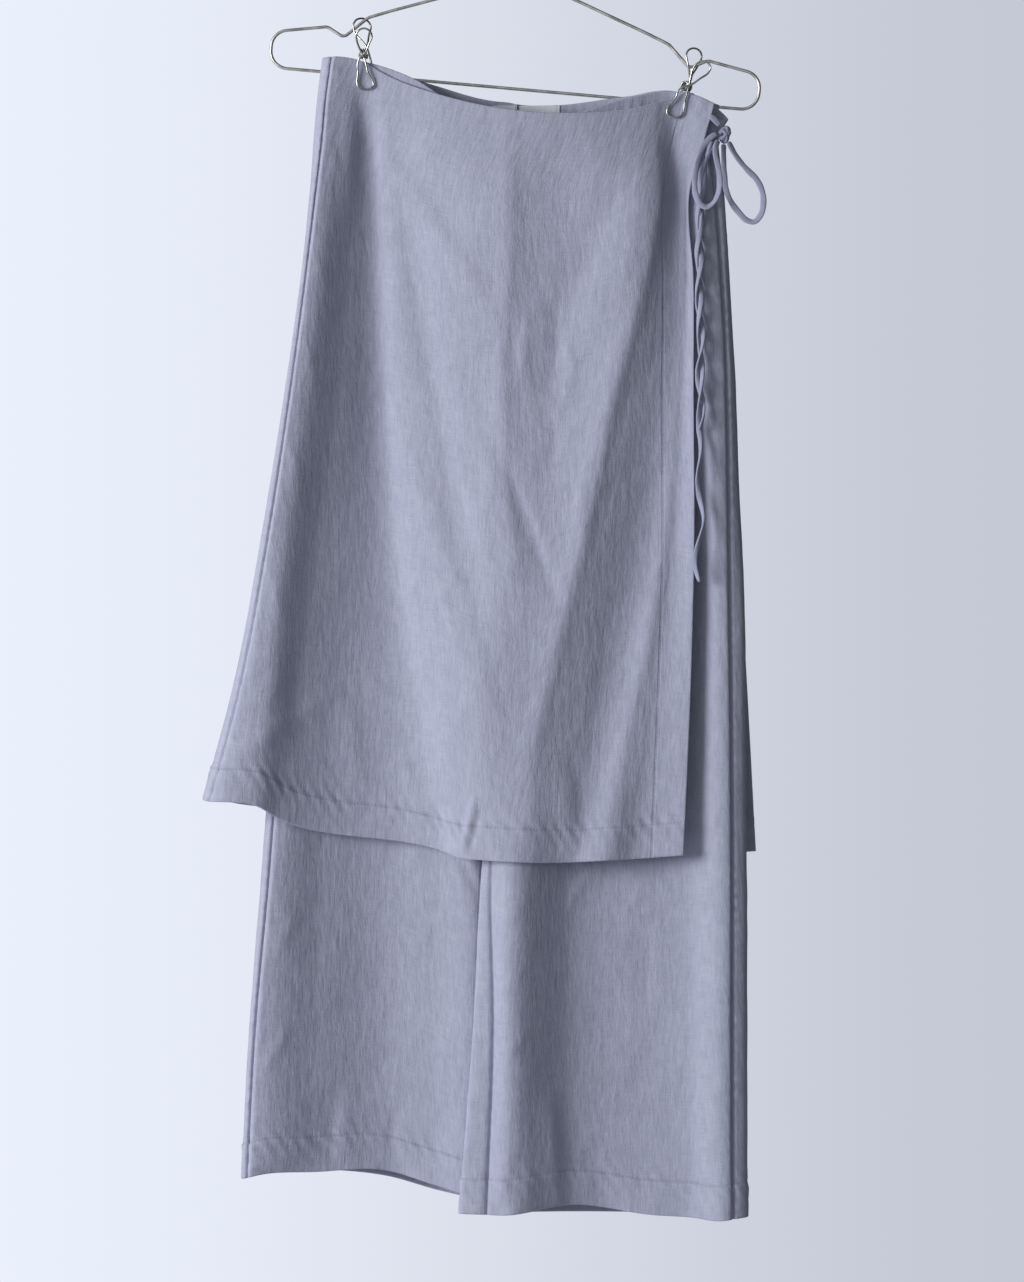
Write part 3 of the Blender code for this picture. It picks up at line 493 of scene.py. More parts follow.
RIGHT_LEG_BACK = panel_lines(
    ("side_seam", 142.6, 1038,
     (-160.5, -163.6, -166.5, -170, -176, -182, -186, -188.5, -195, -202, -209, -220.5, -228),
     (-15.6, -16, -16.6, -17.6, -18.6, -18.4, -17.8, -17.6, -18.2, -24, -36.8, -42.4, -41.6)),
    ("side_fold", 143, 1039.5,
     (-163.6, -167, -170, -173.4, -179, -185.6, -190, -192.6, -199, -207.5, -214.8, -222.8, -228.8),
     (-14, -13.5, -13, -12, -10.5, -8.5, -6.5, -5.5, -5, -6.5, -11, -13.5, -13)),
    ("back_outer", 143, 1038.5,
     (-154, -155.5, -157, -160.5, -167, -174, -178, -181, -188, -196, -202, -209, -215),
     (-12.2, -11, -8.6, -3.2, 3.6, 8.6, 10.6, 11.6, 13, 14.2, 15, 15.4, 15.6)),
    ("back_clip", 147, 1042,
     (-133, -133, -133, -132, -131, -130, -129, -128, -126, -124, -121, -118, -116),
     (-12.8, -12.8, -10, -4.4, 1.6, 6.2, 8, 9, 10.4, 11.6, 12.4, 13, 13.2)),
    ("back_middle", 164, 1055,
     (-80, -80, -79, -78, -76, -74, -73, -72, -72, -72, -72, -73, -74),
     (-12, -8.5, -5, 1, 8, 13, 15, 16, 18, 20, 22, 24, 25)),
    ("back_inner", 177, 1060,
     (-30, -30, -30, -30, -30, -30, -30, -31, -36, -40, -43, -45, -47),
     (-10, -7, -4, 1.5, 8, 13, 14.5, 15, 16, 18, 19, 20, 20)),
    ("inner_fold", 178, 1060,
     (-19, -19, -19, -19, -19, -19, -18, -16.5, -14.5, -17, -20.5, -22.5, -24.5),
     (-9.5, -6.5, -3.5, 1.8, 8, 12.5, 11, 5, 9, 12, 13, 13.5, 13.5)),
    ("back_seam", 179.4, 1058,
     (-12, -12, -12, -12, -12, -12, -12, -12, -16, -20, -24, -26, -28),
     (-9.2, -6.3, -3.3, 2, 8, 11.5, 6, -4, 4, 7, 8, 8, 8)),
)
LEFT_LEG_FRONT = panel_lines(
    ("inseam", 187, 1068,
     (-12, -12, -12, -12, -12, -12, -12, -12, -15, -25, -32.9, -31.2, -36),
     (-29.5, -30, -29.5, -28.5, -27.5, -26, -21, -4, -15, -24, -31, -34, -36)),
    ("inner_ridge", 189.2, 1068,
     (30, 30, 30, 30, 30, 28, 25, 22, 8, -9, -20, -24, -25),
     (-28, -29, -29.6, -30, -30, -29.5, -29, -29, -31, -36, -40, -41, -42)),
    ("valley", 176.3, 1062,
     (75, 75, 74, 73, 70, 66, 62, 60, 50, 40, 35, 33, 34),
     (-20, -20.5, -21.5, -23.5, -23, -21, -20, -19.5, -18.5, -17.5, -17, -17, -18)),
    ("outer_slope", 169.8, 1070.5,
     (113.5, 114.5, 115.5, 117, 115, 110, 106, 104, 100, 97, 97, 97, 97),
     (-15.2, -14.2, -13, -12.8, -15, -15, -14.5, -14.5, -14, -13.5, -13.3, -13.3, -14)),
    ("outer_lift", 170.5, 1072,
     (120, 122, 123, 124.5, 126, 127, 127, 127, 127, 127, 127, 127, 127),
     (-15.6, -15.2, -15, -16.4, -20.5, -22.5, -22, -21.5, -18.5, -17.6, -17.2, -17, -17.4)),
    ("outer_ridge", 172, 1073.5,
     (127, 130, 131, 132.5, 139, 144.5, 148, 149.4, 151.4, 153.6, 154.2, 153.6, 153.4),
     (-16.2, -16.5, -17, -19, -25.5, -29, -30.2, -30.4, -30.4, -30.6, -30.8, -30.8, -30.8)),
    ("outer_turn", 178, 1073,
     (131.5, 134, 135.5, 139, 145, 150.4, 152.4, 153.2, 154.8, 156.8, 157.6, 157.4, 157.4),
     (-16.3, -16.6, -17, -19, -25, -28.2, -29.4, -29.8, -30, -30.2, -30.4, -30.4, -30.4)),
)
LEFT_LEG_BACK = panel_lines(
    ("side_seam", 188, 1072.5,
     (140, 141.5, 141.5, 147, 152.2, 155.8, 156.8, 157.2, 158, 159.4, 160.2, 160.2, 160.6),
     (-16, -16.2, -16, -17, -21.8, -26, -27.2, -27.6, -28, -28.4, -28.6, -28.6, -28.4)),
    ("side_fold", 192, 1071.5,
     (175, 168, 150, 153.4, 157.5, 161.4, 162.8, 163.8, 167.2, 168.8, 169.4, 169.6, 170),
     (-12, -12, -12, -13.5, -17, -20.8, -22.2, -22.8, -23.6, -24, -24.2, -24.2, -24)),
    ("back_outer", 184, 1072.5,
     (152, 152, 143, 144, 147, 150, 151, 152, 154, 156, 157, 158, 158),
     (-11.4, -11, -10.2, -6, -1.5, 2, 3.5, 4.5, 6, 7.5, 8, 8.5, 8.5)),
    ("back_clip", 169.6, 1072,
     (113.5, 114.5, 115.5, 117, 120, 122, 123, 124, 126, 130, 132, 134, 134),
     (-12.8, -12.6, -11.6, -7.8, -3, 1, 2.5, 3.5, 5.5, 7.5, 9, 10, 10.5)),
    ("back_middle", 176.5, 1070.5,
     (62, 62, 62, 62, 62, 62, 61, 60, 58, 56, 54, 52, 50),
     (-12, -9, -5.5, 1, 8, 13, 15, 15.5, 15.5, 14.5, 13.5, 13, 13)),
    ("back_inner", 180.4, 1069,
     (8, 8, 8, 8, 8, 7, 6, 5, 2, -4, -10, -12, -16),
     (-9.5, -6.5, -3.5, 2, 8, 12.5, 13.5, 12, 3, -3, -6, -7, -7)),
    ("inner_fold", 180.2, 1067.5,
     (-5, -5, -5, -5, -5, -5, -6, -9, -17, -28.5, -38.6, -45.8, -56.4),
     (-9.2, -6.3, -3.3, 2, 8, 12, 10, 3, -10, -19, -27, -30, -33)),
    ("back_seam", 179.4, 1068,
     (-12, -12, -12, -12, -12, -12, -12, -12, -15, -25, -32.9, -31.2, -36),
     (-9.2, -6.3, -3.3, 2, 8, 11.5, 6, -4, -15, -24, -31, -34, -36)),
)


def row_drops(line, rows, tops):
    """Drops at which the rows cross a line. tops is the highest top of its garment's lines."""
    waist = math.ceil((rows.first - tops[0]) / rows.spacing)
    hem = math.ceil((tops[1] - rows.hem_zone - rows.last) / rows.spacing)
    return np.concatenate([
        line.top + np.array(TOP_STEPS[:-1]),
        np.linspace(line.top + TOP_STEPS[-1], rows.first, waist, endpoint=False),
        np.linspace(rows.first, rows.last, round((rows.last - rows.first) / rows.spacing),
                    endpoint=False),
        np.linspace(rows.last, line.hem - HEM_STEPS[0], hem, endpoint=False),
        line.hem - np.array(HEM_STEPS)])


def cloth_surface(lines, levels, rows, seams):
    """Middle surface through the lines, with its columns crowded beside the seams and edges."""
    tops = (min(line.top for line in lines), max(line.hem for line in lines))
    ribs = []
    for line in lines:
        drops = row_drops(line, rows, tops)
        ribs.append(np.stack([curve_through(levels, line.across, drops),
                              curve_through(levels, line.depth, drops), -drops], axis=1))
    ribs = np.array(ribs)
    widest = np.linalg.norm(np.diff(ribs, axis=0), axis=2).max(axis=1)
    shares, starts = [], []
    for number, width in enumerate(widest):
        starts.append(len(shares))
        even = np.linspace(0, 1, max(3, math.ceil(width / rows.spacing)) + 1)
        if number in seams:
            even = np.concatenate([EDGE_SHARES, even[1:]])
        if number + 1 in seams:
            even = np.concatenate([even[:-1], 1 - np.array(EDGE_SHARES[::-1])])
        shares += [(number, share) for share in even[:-1]]
    starts.append(len(shares))
    surface = []
    for points in ribs.transpose(1, 0, 2):
        places = along(points)
        wanted = [places[n] + (places[n + 1] - places[n]) * share for n, share in shares]
        surface.append(curve_through(places, points, wanted + [places[-1]]))
    return np.array(surface), starts


def surface_normals(surface, crotch_row=None):
    """Unit normals of the middle surface. Below a crotch row the first and last columns meet."""
    across = np.gradient(surface, axis=1)
    down = np.gradient(surface, axis=0)
    if crotch_row is not None:
        outwards = np.array([math.copysign(1, across[0, 0][0]), 0, 0])
        across[:crotch_row, 0] = outwards
        across[:crotch_row, -1] = -outwards
        across[crotch_row:, 0] = surface[crotch_row:, 1] - surface[crotch_row:, -2]
        across[crotch_row:, -1] = across[crotch_row:, 0]
        down[crotch_row:, 0] += down[crotch_row:, -1]
        down[crotch_row:, -1] = down[crotch_row:, 0]
    normals = np.cross(across, down)
    normals /= np.maximum(np.linalg.norm(normals, axis=2, keepdims=True), 1e-9)
    if crotch_row is not None:
        normals[crotch_row, 0] = normals[crotch_row, -1] = (0, 0, -1)
    return normals


def soft_noise(right, down, wide, tall, seed):
    """Smooth uneven field between about -1 and 1, with patches of this size."""
    right, down = right / wide + 50, down / tall + 50
    table = np.random.default_rng(seed).uniform(-1, 1, (256, 256))
    x, y = np.floor(right).astype(int), np.floor(down).astype(int)
    u, v = right - x, down - y
    u, v = u * u * (3 - 2 * u), v * v * (3 - 2 * v)
    corner = [table[(y + j) % 256, (x + i) % 256] for j in (0, 1) for i in (0, 1)]
    return ((corner[0] * (1 - u) + corner[1] * u) * (1 - v)
            + (corner[2] * (1 - u) + corner[3] * u) * v)


def creased(right, down, creases):
    """Height that the creases give each point of the cloth."""
    total = np.zeros(right.shape)
    for high, left_flank, right_flank, *route in creases:
        route = np.array(route, float) * CREASE_GRID
        places = along(route)
        count = max(8, round(places[-1] / CREASE_STEP))
        route = curve_through(places, route, np.linspace(0, places[-1], count))
        nearest = np.full(right.shape, 1e9)
        beside = np.zeros(right.shape)
        share = np.zeros(right.shape)
        for number, (start, end) in enumerate(zip(route, route[1:])):
            step = end - start
            away = np.stack([right - start[0], down - start[1]], axis=-1)
            part = np.clip(away @ step / (step @ step), 0, 1)
            off = away - part[..., None] * step
            distance = np.hypot(off[..., 0], off[..., 1])
            closer = distance < nearest
            nearest = np.where(closer, distance, nearest)
            beside = np.where(closer, away[..., 0] * step[1] - away[..., 1] * step[0], beside)
            share = np.where(closer, (number + part) / (count - 1), share)
        width = np.where(beside > 0, right_flank, left_flank)
        total += high * np.sin(math.pi * share) ** 0.7 * np.exp(-(nearest / width) ** 2)
    return total


def puckered(pucker, run, off, wander):
    """Ripples along a stitched line. run goes along it, and off is the distance from its edge."""
    waves = np.sin(2 * math.pi * run / pucker.pitch + pucker.wander * wander)
    return pucker.height * waves * np.exp(-((off - pucker.at) / pucker.reach) ** 2)


def grid_quads(rows, columns):
    """Faces of a grid of points."""
    number = np.arange(rows * columns).reshape(rows, columns)
    quads = np.stack([number[:-1, :-1], number[:-1, 1:], number[1:, 1:], number[1:, :-1]],
                     axis=-1).reshape(-1, 4)
    return number, quads


def add_panel(name, surface, normals, finish, creases, seamed, seed, seam_depth):
    """One cut panel: a thin closed shell with its creases, rounded edges, seams and hem."""
    right = along_rows(surface)
    from_left, from_right = right, right[:, -1:] - right
    below_top = np.cumsum(np.concatenate([np.zeros((1, surface.shape[1])), np.linalg.norm(
        np.diff(surface, axis=0), axis=2)]), axis=0)
    above_hem = below_top[-1:] - below_top
    across, drop = surface[..., 0], -surface[..., 2]
    seams = [beside for sewn, beside in zip(seamed, (from_left, from_right)) if sewn]
    edges = [(below_top, HEM_FOLD), (above_hem, HEM_FOLD)] + [
        (beside, SIDE_FOLD) for sewn, beside in zip(seamed, (from_left, from_right)) if not sewn]

    calm = np.ones(right.shape)
    for beside in seams:
        calm *= 1 - np.exp(-(beside / CALM_BY_SEAM) ** 2)
    settled = calm * (1 - np.exp(-(below_top / CALM_BY_WAIST) ** 1.5))
    height = creased(across, drop, creases) * calm
    for number, (high, wide, tall, slant) in enumerate(RUMPLES):
        height += high * settled * soft_noise(across + slant * drop, drop, wide, tall,
                                              seed + number)
    pull = 0.8 + 0.8 * soft_noise(right, drop, *PULL_PATCH, seed + 3)
    height += pull * puckered(HEM_PUCKER, right - HEM_SLANT * above_hem, above_hem,
                              soft_noise(right, drop, *EDGE_WANDER, seed + 4))
    height += pull * puckered(WAIST_PUCKER, right, below_top,
                              soft_noise(right, drop, *EDGE_WANDER, seed + 5))
    height += HEM_STEP * np.clip((HEM_DEEP - above_hem) / 1.5, 0, 1)
    for beside in seams:
        height -= seam_depth * np.exp(-(beside / SEAM_GROOVE) ** 2)
        height += pull * puckered(SEAM_PUCKER, drop, beside,
                                  soft_noise(drop, drop, *SEAM_WANDER, seed + 6))
    half = CLOTH_HALF + (HEM_HALF - CLOTH_HALF) * np.clip((HEM_DEEP + 0.6 - above_hem) / 1.2, 0, 1)
    for from_edge, fold in edges:
        inside = np.clip(from_edge / fold, 0, 1)
        half = half * np.maximum(np.sqrt(1 - (1 - inside) ** 2), THIN_EDGE)

    outer = surface + normals * (height + half)[..., None]
    inner = surface + normals * (height - half)[..., None]
    number, quads = grid_quads(*across.shape)
    rim = np.concatenate([number[0], number[1:, -1], number[-1, -2::-1], number[-2:0:-1, 0]])
    following = np.roll(rim, -1)
    walls = np.stack([following, rim, rim + across.size, following + across.size], axis=-1)
    faces = np.concatenate([quads, quads[:, ::-1] + across.size, walls]).tolist()
    places = {"cloth": (right, below_top), "edges": (from_left, above_hem)}
    uvs = {layer: np.tile(np.stack(pair, axis=-1).reshape(-1, 2) * MM, (2, 1))
           for layer, pair in places.items()}
    made = mesh_object(name, np.concatenate([outer.reshape(-1, 3), inner.reshape(-1, 3)]), faces,
                       uvs, finish)
    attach(made, "root")
    return made


def along_rows(surface):
    """Distance across the cloth from the first column."""
    steps = np.linalg.norm(np.diff(surface, axis=1), axis=2)
    return np.concatenate([np.zeros((len(surface), 1)), np.cumsum(steps, axis=1)], axis=1)


LEG_SEAM_DEPTH = 2.4
leg_cloth = linen("slubby linen, hemmed", CLOTH_LIGHT, CLOTH_DARK, (("Y", HEM_DEEP),))

RIGHT_LEG_CREASES = (
    (-1.6, 3.5, 3, (-77, 972), (-64, 994), (-54, 1022)),
    (-2.4, 17, 5, (-194, 1207), (-199, 1252), (-201, 1294)),
    (-4.2, 14, 15, (-292, 1302), (-242, 1300), (-182, 1302)),
    (-2.6, 12, 13, (-158, 1304), (-140, 1307), (-120, 1312)),
    (-1.2, 6, 5, (-134, 1227), (-140, 1262), (-134, 1296)),
    (1.0, 5, 5, (-274, 1197), (-257, 1172), (-242, 1142)),
    (0.8, 6, 6, (-264, 1082), (-248, 1062), (-236, 1027)),
    (1.0, 10, 10, (-92, 1122), (-86, 1182), (-92, 1242)),
)
LEFT_LEG_CREASES = (
    (2.6, 8, 6, (17, 1212), (20, 1272), (25, 1331)),
    (-4.0, 14, 15, (28, 1336), (60, 1338), (96, 1336)),
    (-2.6, 14, 12, (-69, 1334), (-47, 1334), (-20, 1335)),
    (-1.1, 6, 6, (-10, 1262), (-16, 1297), (-20, 1329)),
    (-1.2, 8, 7, (56, 1272), (66, 1297), (70, 1324)),
    (1.0, 4, 4, (63, 988), (48, 1007), (36, 1030)),
    (0.9, 6, 6, (121, 992), (104, 1017), (88, 1045)),
    (-1.1, 12, 12, (136, 1132), (118, 1182), (100, 1247)),
    (-0.9, 7, 6, (108, 1052), (116, 1102), (108, 1142)),
    (1.0, 5, 5, (-32, 1182), (-20, 1167), (-4, 1157)),
    (0.8, 6, 6, (-35, 1052), (-22, 1037), (-10, 1027)),
)
RIGHT_LEG_BACK_CREASES = (
    (1.4, 9, 8, (-202, 1022), (-194, 1102), (-202, 1182)),
    (-1.2, 8, 8, (-132, 1082), (-136, 1162), (-128, 1232)),
    (1.2, 6, 6, (-232, 1222), (-226, 1257), (-230, 1287)),
    (-1.2, 6, 6, (-102, 1242), (-106, 1272), (-102, 1297)),
)
LEFT_LEG_BACK_CREASES = (
    (1.4, 9, 8, (108, 1022), (100, 1112), (108, 1202)),
    (-1.2, 8, 8, (28, 1062), (36, 1152), (28, 1242)),
    (1.2, 6, 6, (68, 1252), (72, 1287), (68, 1322)),
    (-1.2, 6, 6, (158, 1242), (154, 1282), (160, 1322)),
)
# Cut of each panel, front then back, with its hem and seam turnings: width, length and area.
LEG_CUT = {"right": ((0.245, 0.94, 0.195), (0.26, 0.94, 0.21)),
           "left": ((0.235, 0.94, 0.195), (0.31, 0.94, 0.23))}

for side, front_lines, back_lines, *leg_creases in (
        ("right", RIGHT_LEG_FRONT, RIGHT_LEG_BACK, RIGHT_LEG_CREASES, RIGHT_LEG_BACK_CREASES),
        ("left", LEFT_LEG_FRONT, LEFT_LEG_BACK, LEFT_LEG_CREASES, LEFT_LEG_BACK_CREASES)):
    lines = front_lines + back_lines
    seam_line = len(front_lines)
    leg, starts = cloth_surface(lines, CULOTTE_LEVELS, CULOTTE_ROWS,
                                (0, seam_line, len(lines) - 1))
    crotch_row = int(np.argmin(np.abs(-leg[:, 0, 2] - CROTCH_DROP)))
    leg[crotch_row:, 0] = leg[crotch_row:, -1] = (leg[crotch_row:, 0] + leg[crotch_row:, -1]) / 2
    normals = surface_normals(leg, crotch_row)
    seam = starts[seam_line]
    halves = (("front", slice(0, seam + 1)), ("back", slice(seam, None)))
    for (half, columns), creases, (wide, long, area) in zip(halves, leg_creases, LEG_CUT[side]):
        part, out = leg[:, columns], normals[:, columns]
        if side == "left":
            part, out = part[:, ::-1], -out[:, ::-1]
        piece = add_panel(f"culotte_{half}_{side}_cloth", part, out, leg_cloth, creases,
                          (True, True), len(half) + len(side), LEG_SEAM_DEPTH)
        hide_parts(f"culotte_{half}_{side}")

# ----------------------------------------
# Overskirt: a flared wrap of two panels over the culottes, sewn into the same waist and at the
# wearer's right side, and open at the other side. Its front free edge has a 26 mm facing turned
# in and topstitched, and its hem is turned up 27 mm.
OVERSKIRT_LEVELS = (145, 175, 205, 250, 320, 420, 520, 640, 770)
OVERSKIRT_ROWS = Rows(250, 640, 3.25, 34)

OVERSKIRT_FRONT = panel_lines(
    ("front_edge", 180, 781.5,
     (149, 147, 139.5, 126.8, 129.4, 129.6, 130, 127, 121.5),
     (-20, -20.5, -21.5, -22, -27, -31.5, -33.5, -34.5, -35)),
    ("second_valley", 172.8, 784.5,
     (130.5, 129, 126, 123.8, 123.8, 120, 114, 102, 84),
     (-18.2, -18.4, -18.8, -20.5, -25.5, -28.5, -30, -31, -32)),
    ("second_ridge", 172, 785.5,
     (124, 123, 122.3, 121.7, 120.6, 114.5, 107, 86, 62),
     (-17.6, -17.6, -18, -20.5, -26, -28.8, -31, -34, -39)),
    ("right_valley", 174.6, 787,
     (113.5, 113.5, 114, 117, 117, 110, 98, 76, 38),
     (-17.3, -17.2, -17.2, -20, -26.5, -29, -30, -31, -35)),
    ("right_ridge", 181, 786.5,
     (94, 94, 96, 101, 88, 62.5, 43, 12, -10),
     (-21.5, -22.3, -25, -31, -38.5, -42, -44.5, -45.5, -48)),
    ("centre", 189, 786,
     (20, 20, 19, 20, 24, 22, 10, -8, -22),
     (-33, -33.5, -33.5, -33.2, -34, -36, -42, -46, -47)),
    ("centre_left", 176, 785,
     (-70, -66, -56, -36, -24, -22, -24, -40, -40),
     (-26, -28, -31, -34.5, -35.8, -36.5, -41.5, -45, -42.5)),
    ("left_ridge", 154.6, 783.5,
     (-121, -119.5, -112, -104, -106, -98, -86, -66, -58),
     (-17.8, -18.6, -19.5, -17.5, -16.2, -17.5, -24, -36, -36)),
    ("left_valley", 147.2, 778,
     (-133, -133, -132.5, -129.5, -126.5, -124, -116.6, -100, -74),
     (-17.3, -17.2, -14.8, -12, -10.8, -11, -14, -19.5, -27.5)),
    ("left_foot", 144.2, 752,
     (-142, -142, -142, -143, -145, -152, -168, -184, -205),
     (-17.6, -18, -18.6, -17.4, -17, -21, -28, -37, -46)),
    ("left_crest", 142.4, 741,
     (-157, -159.5, -162, -167, -175, -188, -201, -209, -224),
     (-19.5, -23, -26.5, -30, -34.5, -41, -47, -52.5, -56.5)),
)
OVERSKIRT_BACK = panel_lines(
    ("side_seam", 142.5, 738,
     (-160.5, -164.5, -167, -172, -180.3, -193.5, -208.5, -230.5, -264.5),
     (-19.8, -23.6, -27.4, -30.8, -35, -41.6, -47.2, -51.8, -55.5)),
    ("side_fold", 143, 737,
     (-167.8, -171.5, -174, -176.4, -181.6, -193.9, -208.4, -230.6, -265),
     (-14, -13.8, -13.5, -12.5, -11.5, -10, -8, -5, -2)),
    ("back_left", 143, 742,
     (-158, -160, -161.5, -164, -170, -181, -195, -215, -246),
     (-10, -9, -5.2, -0.4, 6, 13, 18.5, 24, 30)),
    ("back_left_clip", 148, 757,
     (-133, -133, -133, -132, -131, -128, -124, -117, -108),
     (-10.8, -10.8, -7.4, -1.4, 5.5, 12, 16.5, 20.5, 24)),
    ("back_left_ridge", 160, 768,
     (-98, -97, -96, -95, -92, -88, -82, -74, -64),
     (-9, -5.5, -2, 5, 14, 23, 30, 37, 44)),
    ("back_centre", 180.6, 780,
     (0, 0, 0, 0, 2, 4, 6, 8, 10),
     (-6.5, -4, -1, 6, 14, 21, 27, 32, 36)),
    ("back_right_ridge", 172.5, 784,
     (80, 82, 84, 86, 88, 92, 98, 106, 116),
     (-9, -6, -2.5, 5, 13, 22, 29, 36, 41)),
    ("back_right_clip", 169.8, 782,
     (114, 115, 116, 118, 122, 128, 134, 142, 150),
     (-10.6, -10.4, -9.2, -3, 2.5, 8, 12, 16, 20)),
    ("back_edge", 180, 780,
     (150, 150.5, 149.5, 154.5, 158.5, 163, 166.5, 173.2, 180.2),
     (-7.5, -7, -6, -1.6, 2, 5.5, 8.5, 11, 13)),
)

OVERSKIRT_CREASES = (
    (-2.8, 22, 8, (-161, 162), (-160, 312), (-154, 442), (-146, 572), (-134, 712), (-116, 822),
     (-92, 922)),
    (2.4, 11, 7, (136, 212), (130, 272), (125, 327), (108, 412), (76, 537), (53, 652), (15, 802),
     (-12, 922)),
    (-1.9, 15, 12, (100, 232), (81, 322), (59, 372), (40, 422), (22, 472), (14, 532)),
    (2.6, 12, 12, (171, 192), (171, 322), (171, 422), (170, 542), (167, 682), (163, 842)),
    (1.5, 9, 7, (-24, 222), (-24, 342), (-26, 452), (-29, 562), (-18, 682), (-6, 772)),
    (-2.4, 8, 14, (-141, 212), (-135, 272), (-127, 332), (-118, 392), (-112, 442), (-96, 522),
     (-86, 582), (-76, 652), (-54, 732), (-24, 842)),
    (2.2, 9, 7, (-180, 192), (-182, 232), (-183, 282), (-187, 362)),
    (0.9, 4, 4, (-214, 250), (-202, 272), (-196, 298)),
    (0.8, 4, 5, (-226, 358), (-216, 384), (-210, 414)),
    (0.9, 5, 4, (-235, 440), (-223, 474), (-218, 514)),
    (0.9, 4, 4, (-249, 554), (-236, 592), (-232, 627)),
    (0.8, 5, 5, (-270, 682), (-256, 712), (-250, 752)),
    (1.7, 16, 7, (-157, 262), (-122, 312), (-77, 377), (-32, 442)),
    (0.9, 18, 9, (-17, 247), (-18, 302), (-15, 372), (-12, 412)),
    (-1.8, 9, 5, (-37, 557), (-17, 612), (8, 677), (33, 742)),
    (1.5, 10, 8, (-127, 537), (-107, 622), (-77, 712)),
    (-1.0, 6, 6, (-27, 422), (-20, 472), (-27, 522)),
    (0.9, 5, 5, (-2, 432), (-9, 482), (1, 522)),
    (-1.0, 6, 5, (20, 422), (26, 467), (16, 517)),
    (0.9, 5, 5, (33, 452), (39, 492), (28, 542)),
    (-0.8, 5, 5, (8, 522), (23, 562), (13, 602)),
    (1.0, 6, 6, (-52, 552), (-42, 592), (-48, 642)),
    (1.0, 6, 5, (58, 572), (48, 622), (53, 672)),
    (0.8, 6, 5, (108, 322), (96, 382), (80, 452)),
    (-1.0, 7, 6, (-82, 592), (-64, 652), (-52, 712)),
    (0.9, 6, 6, (-102, 682), (-80, 742), (-64, 802)),
    (1.3, 8, 8, (-303, 886), (-247, 844), (-185, 809)),
    (-1.2, 9, 9, (-232, 762), (-235, 822), (-227, 882)),
    (1.4, 10, 9, (-187, 812), (-180, 862), (-172, 922)),
    (1.0, 8, 8, (-137, 857), (-122, 902), (-107, 952)),
    (2.0, 3.5, 4, (-56, 914), (-62, 944), (-70, 978)),
    (1.8, 9, 7, (34, 892), (36, 937), (40, 978)),
    (-1.6, 9, 8, (-96, 922), (-92, 952), (-88, 978)),
    (-3.0, 12, 13, (-270, 954), (-232, 964), (-180, 974)),
    (-1.0, 3, 3, (-51, 930), (-56, 952), (-61, 974)),
    (-1.5, 9, 8, (120, 762), (108, 822), (96, 892), (90, 947)),
    (0.9, 10, 8, (68, 742), (53, 822), (46, 882)),
    (-0.8, 8, 8, (28, 822), (16, 882), (13, 942)),
)
BACK_SKIRT_CREASES = (
    (1.6, 14, 9, (-172, 322), (-137, 412), (-102, 522)),
    (-1.5, 9, 6, (-32, 482), (-7, 572), (8, 682)),
    (1.2, 10, 8, (68, 382), (56, 472), (60, 572)),
    (1.2, 10, 8, (-232, 622), (-222, 702), (-232, 802)),
    (-1.2, 9, 8, (108, 722), (120, 822), (128, 902)),
    (1.4, 10, 9, (-112, 762), (-102, 842), (-104, 922)),
    (-1.0, 8, 8, (28, 762), (24, 842), (34, 922)),
    (1.3, 7, 7, (158, 542), (168, 642), (172, 742)),
)

SKIRT_SEAM_DEPTH = 1.5
SKIRT_HEM_DEEP = 27
FACING_WIDE = 26
skirt_cloth = linen("slubby linen, faced", CLOTH_LIGHT, CLOTH_DARK,
                    (("Y", SKIRT_HEM_DEEP), ("X", FACING_WIDE)))
back_cloth = linen("slubby linen, hemmed wrap", CLOTH_LIGHT, CLOTH_DARK,
                   (("Y", SKIRT_HEM_DEEP),))

lines = OVERSKIRT_FRONT + OVERSKIRT_BACK
seam_line = len(OVERSKIRT_FRONT)
wrap, starts = cloth_surface(lines, OVERSKIRT_LEVELS, OVERSKIRT_ROWS,
                             (0, seam_line, len(lines) - 1))
normals = surface_normals(wrap)
seam = starts[seam_line]
wrap_front = add_panel("overskirt_front_cloth", wrap[:, :seam + 1], normals[:, :seam + 1],
                       skirt_cloth, OVERSKIRT_CREASES, (False, True), 21, SKIRT_SEAM_DEPTH)
wrap_back = add_panel("overskirt_back_cloth", wrap[:, seam:], normals[:, seam:], back_cloth,
                      BACK_SKIRT_CREASES, (True, False), 31, SKIRT_SEAM_DEPTH)
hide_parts("overskirt_front")
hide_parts("overskirt_back")

# ----------------------------------------
# Waist label: a blank strip of white damask-woven satin, folded under and sewn down at its ends
# on the inside of the back waist.
LABEL_LEFT = -31.0
LABEL_RIGHT = 22.5
LABEL_TOP_DROP = 180.6
LABEL_HEIGHT = 15.0
LABEL_OUT = 1.35
LABEL_COLUMNS = 60
LABEL_ROWS = 16

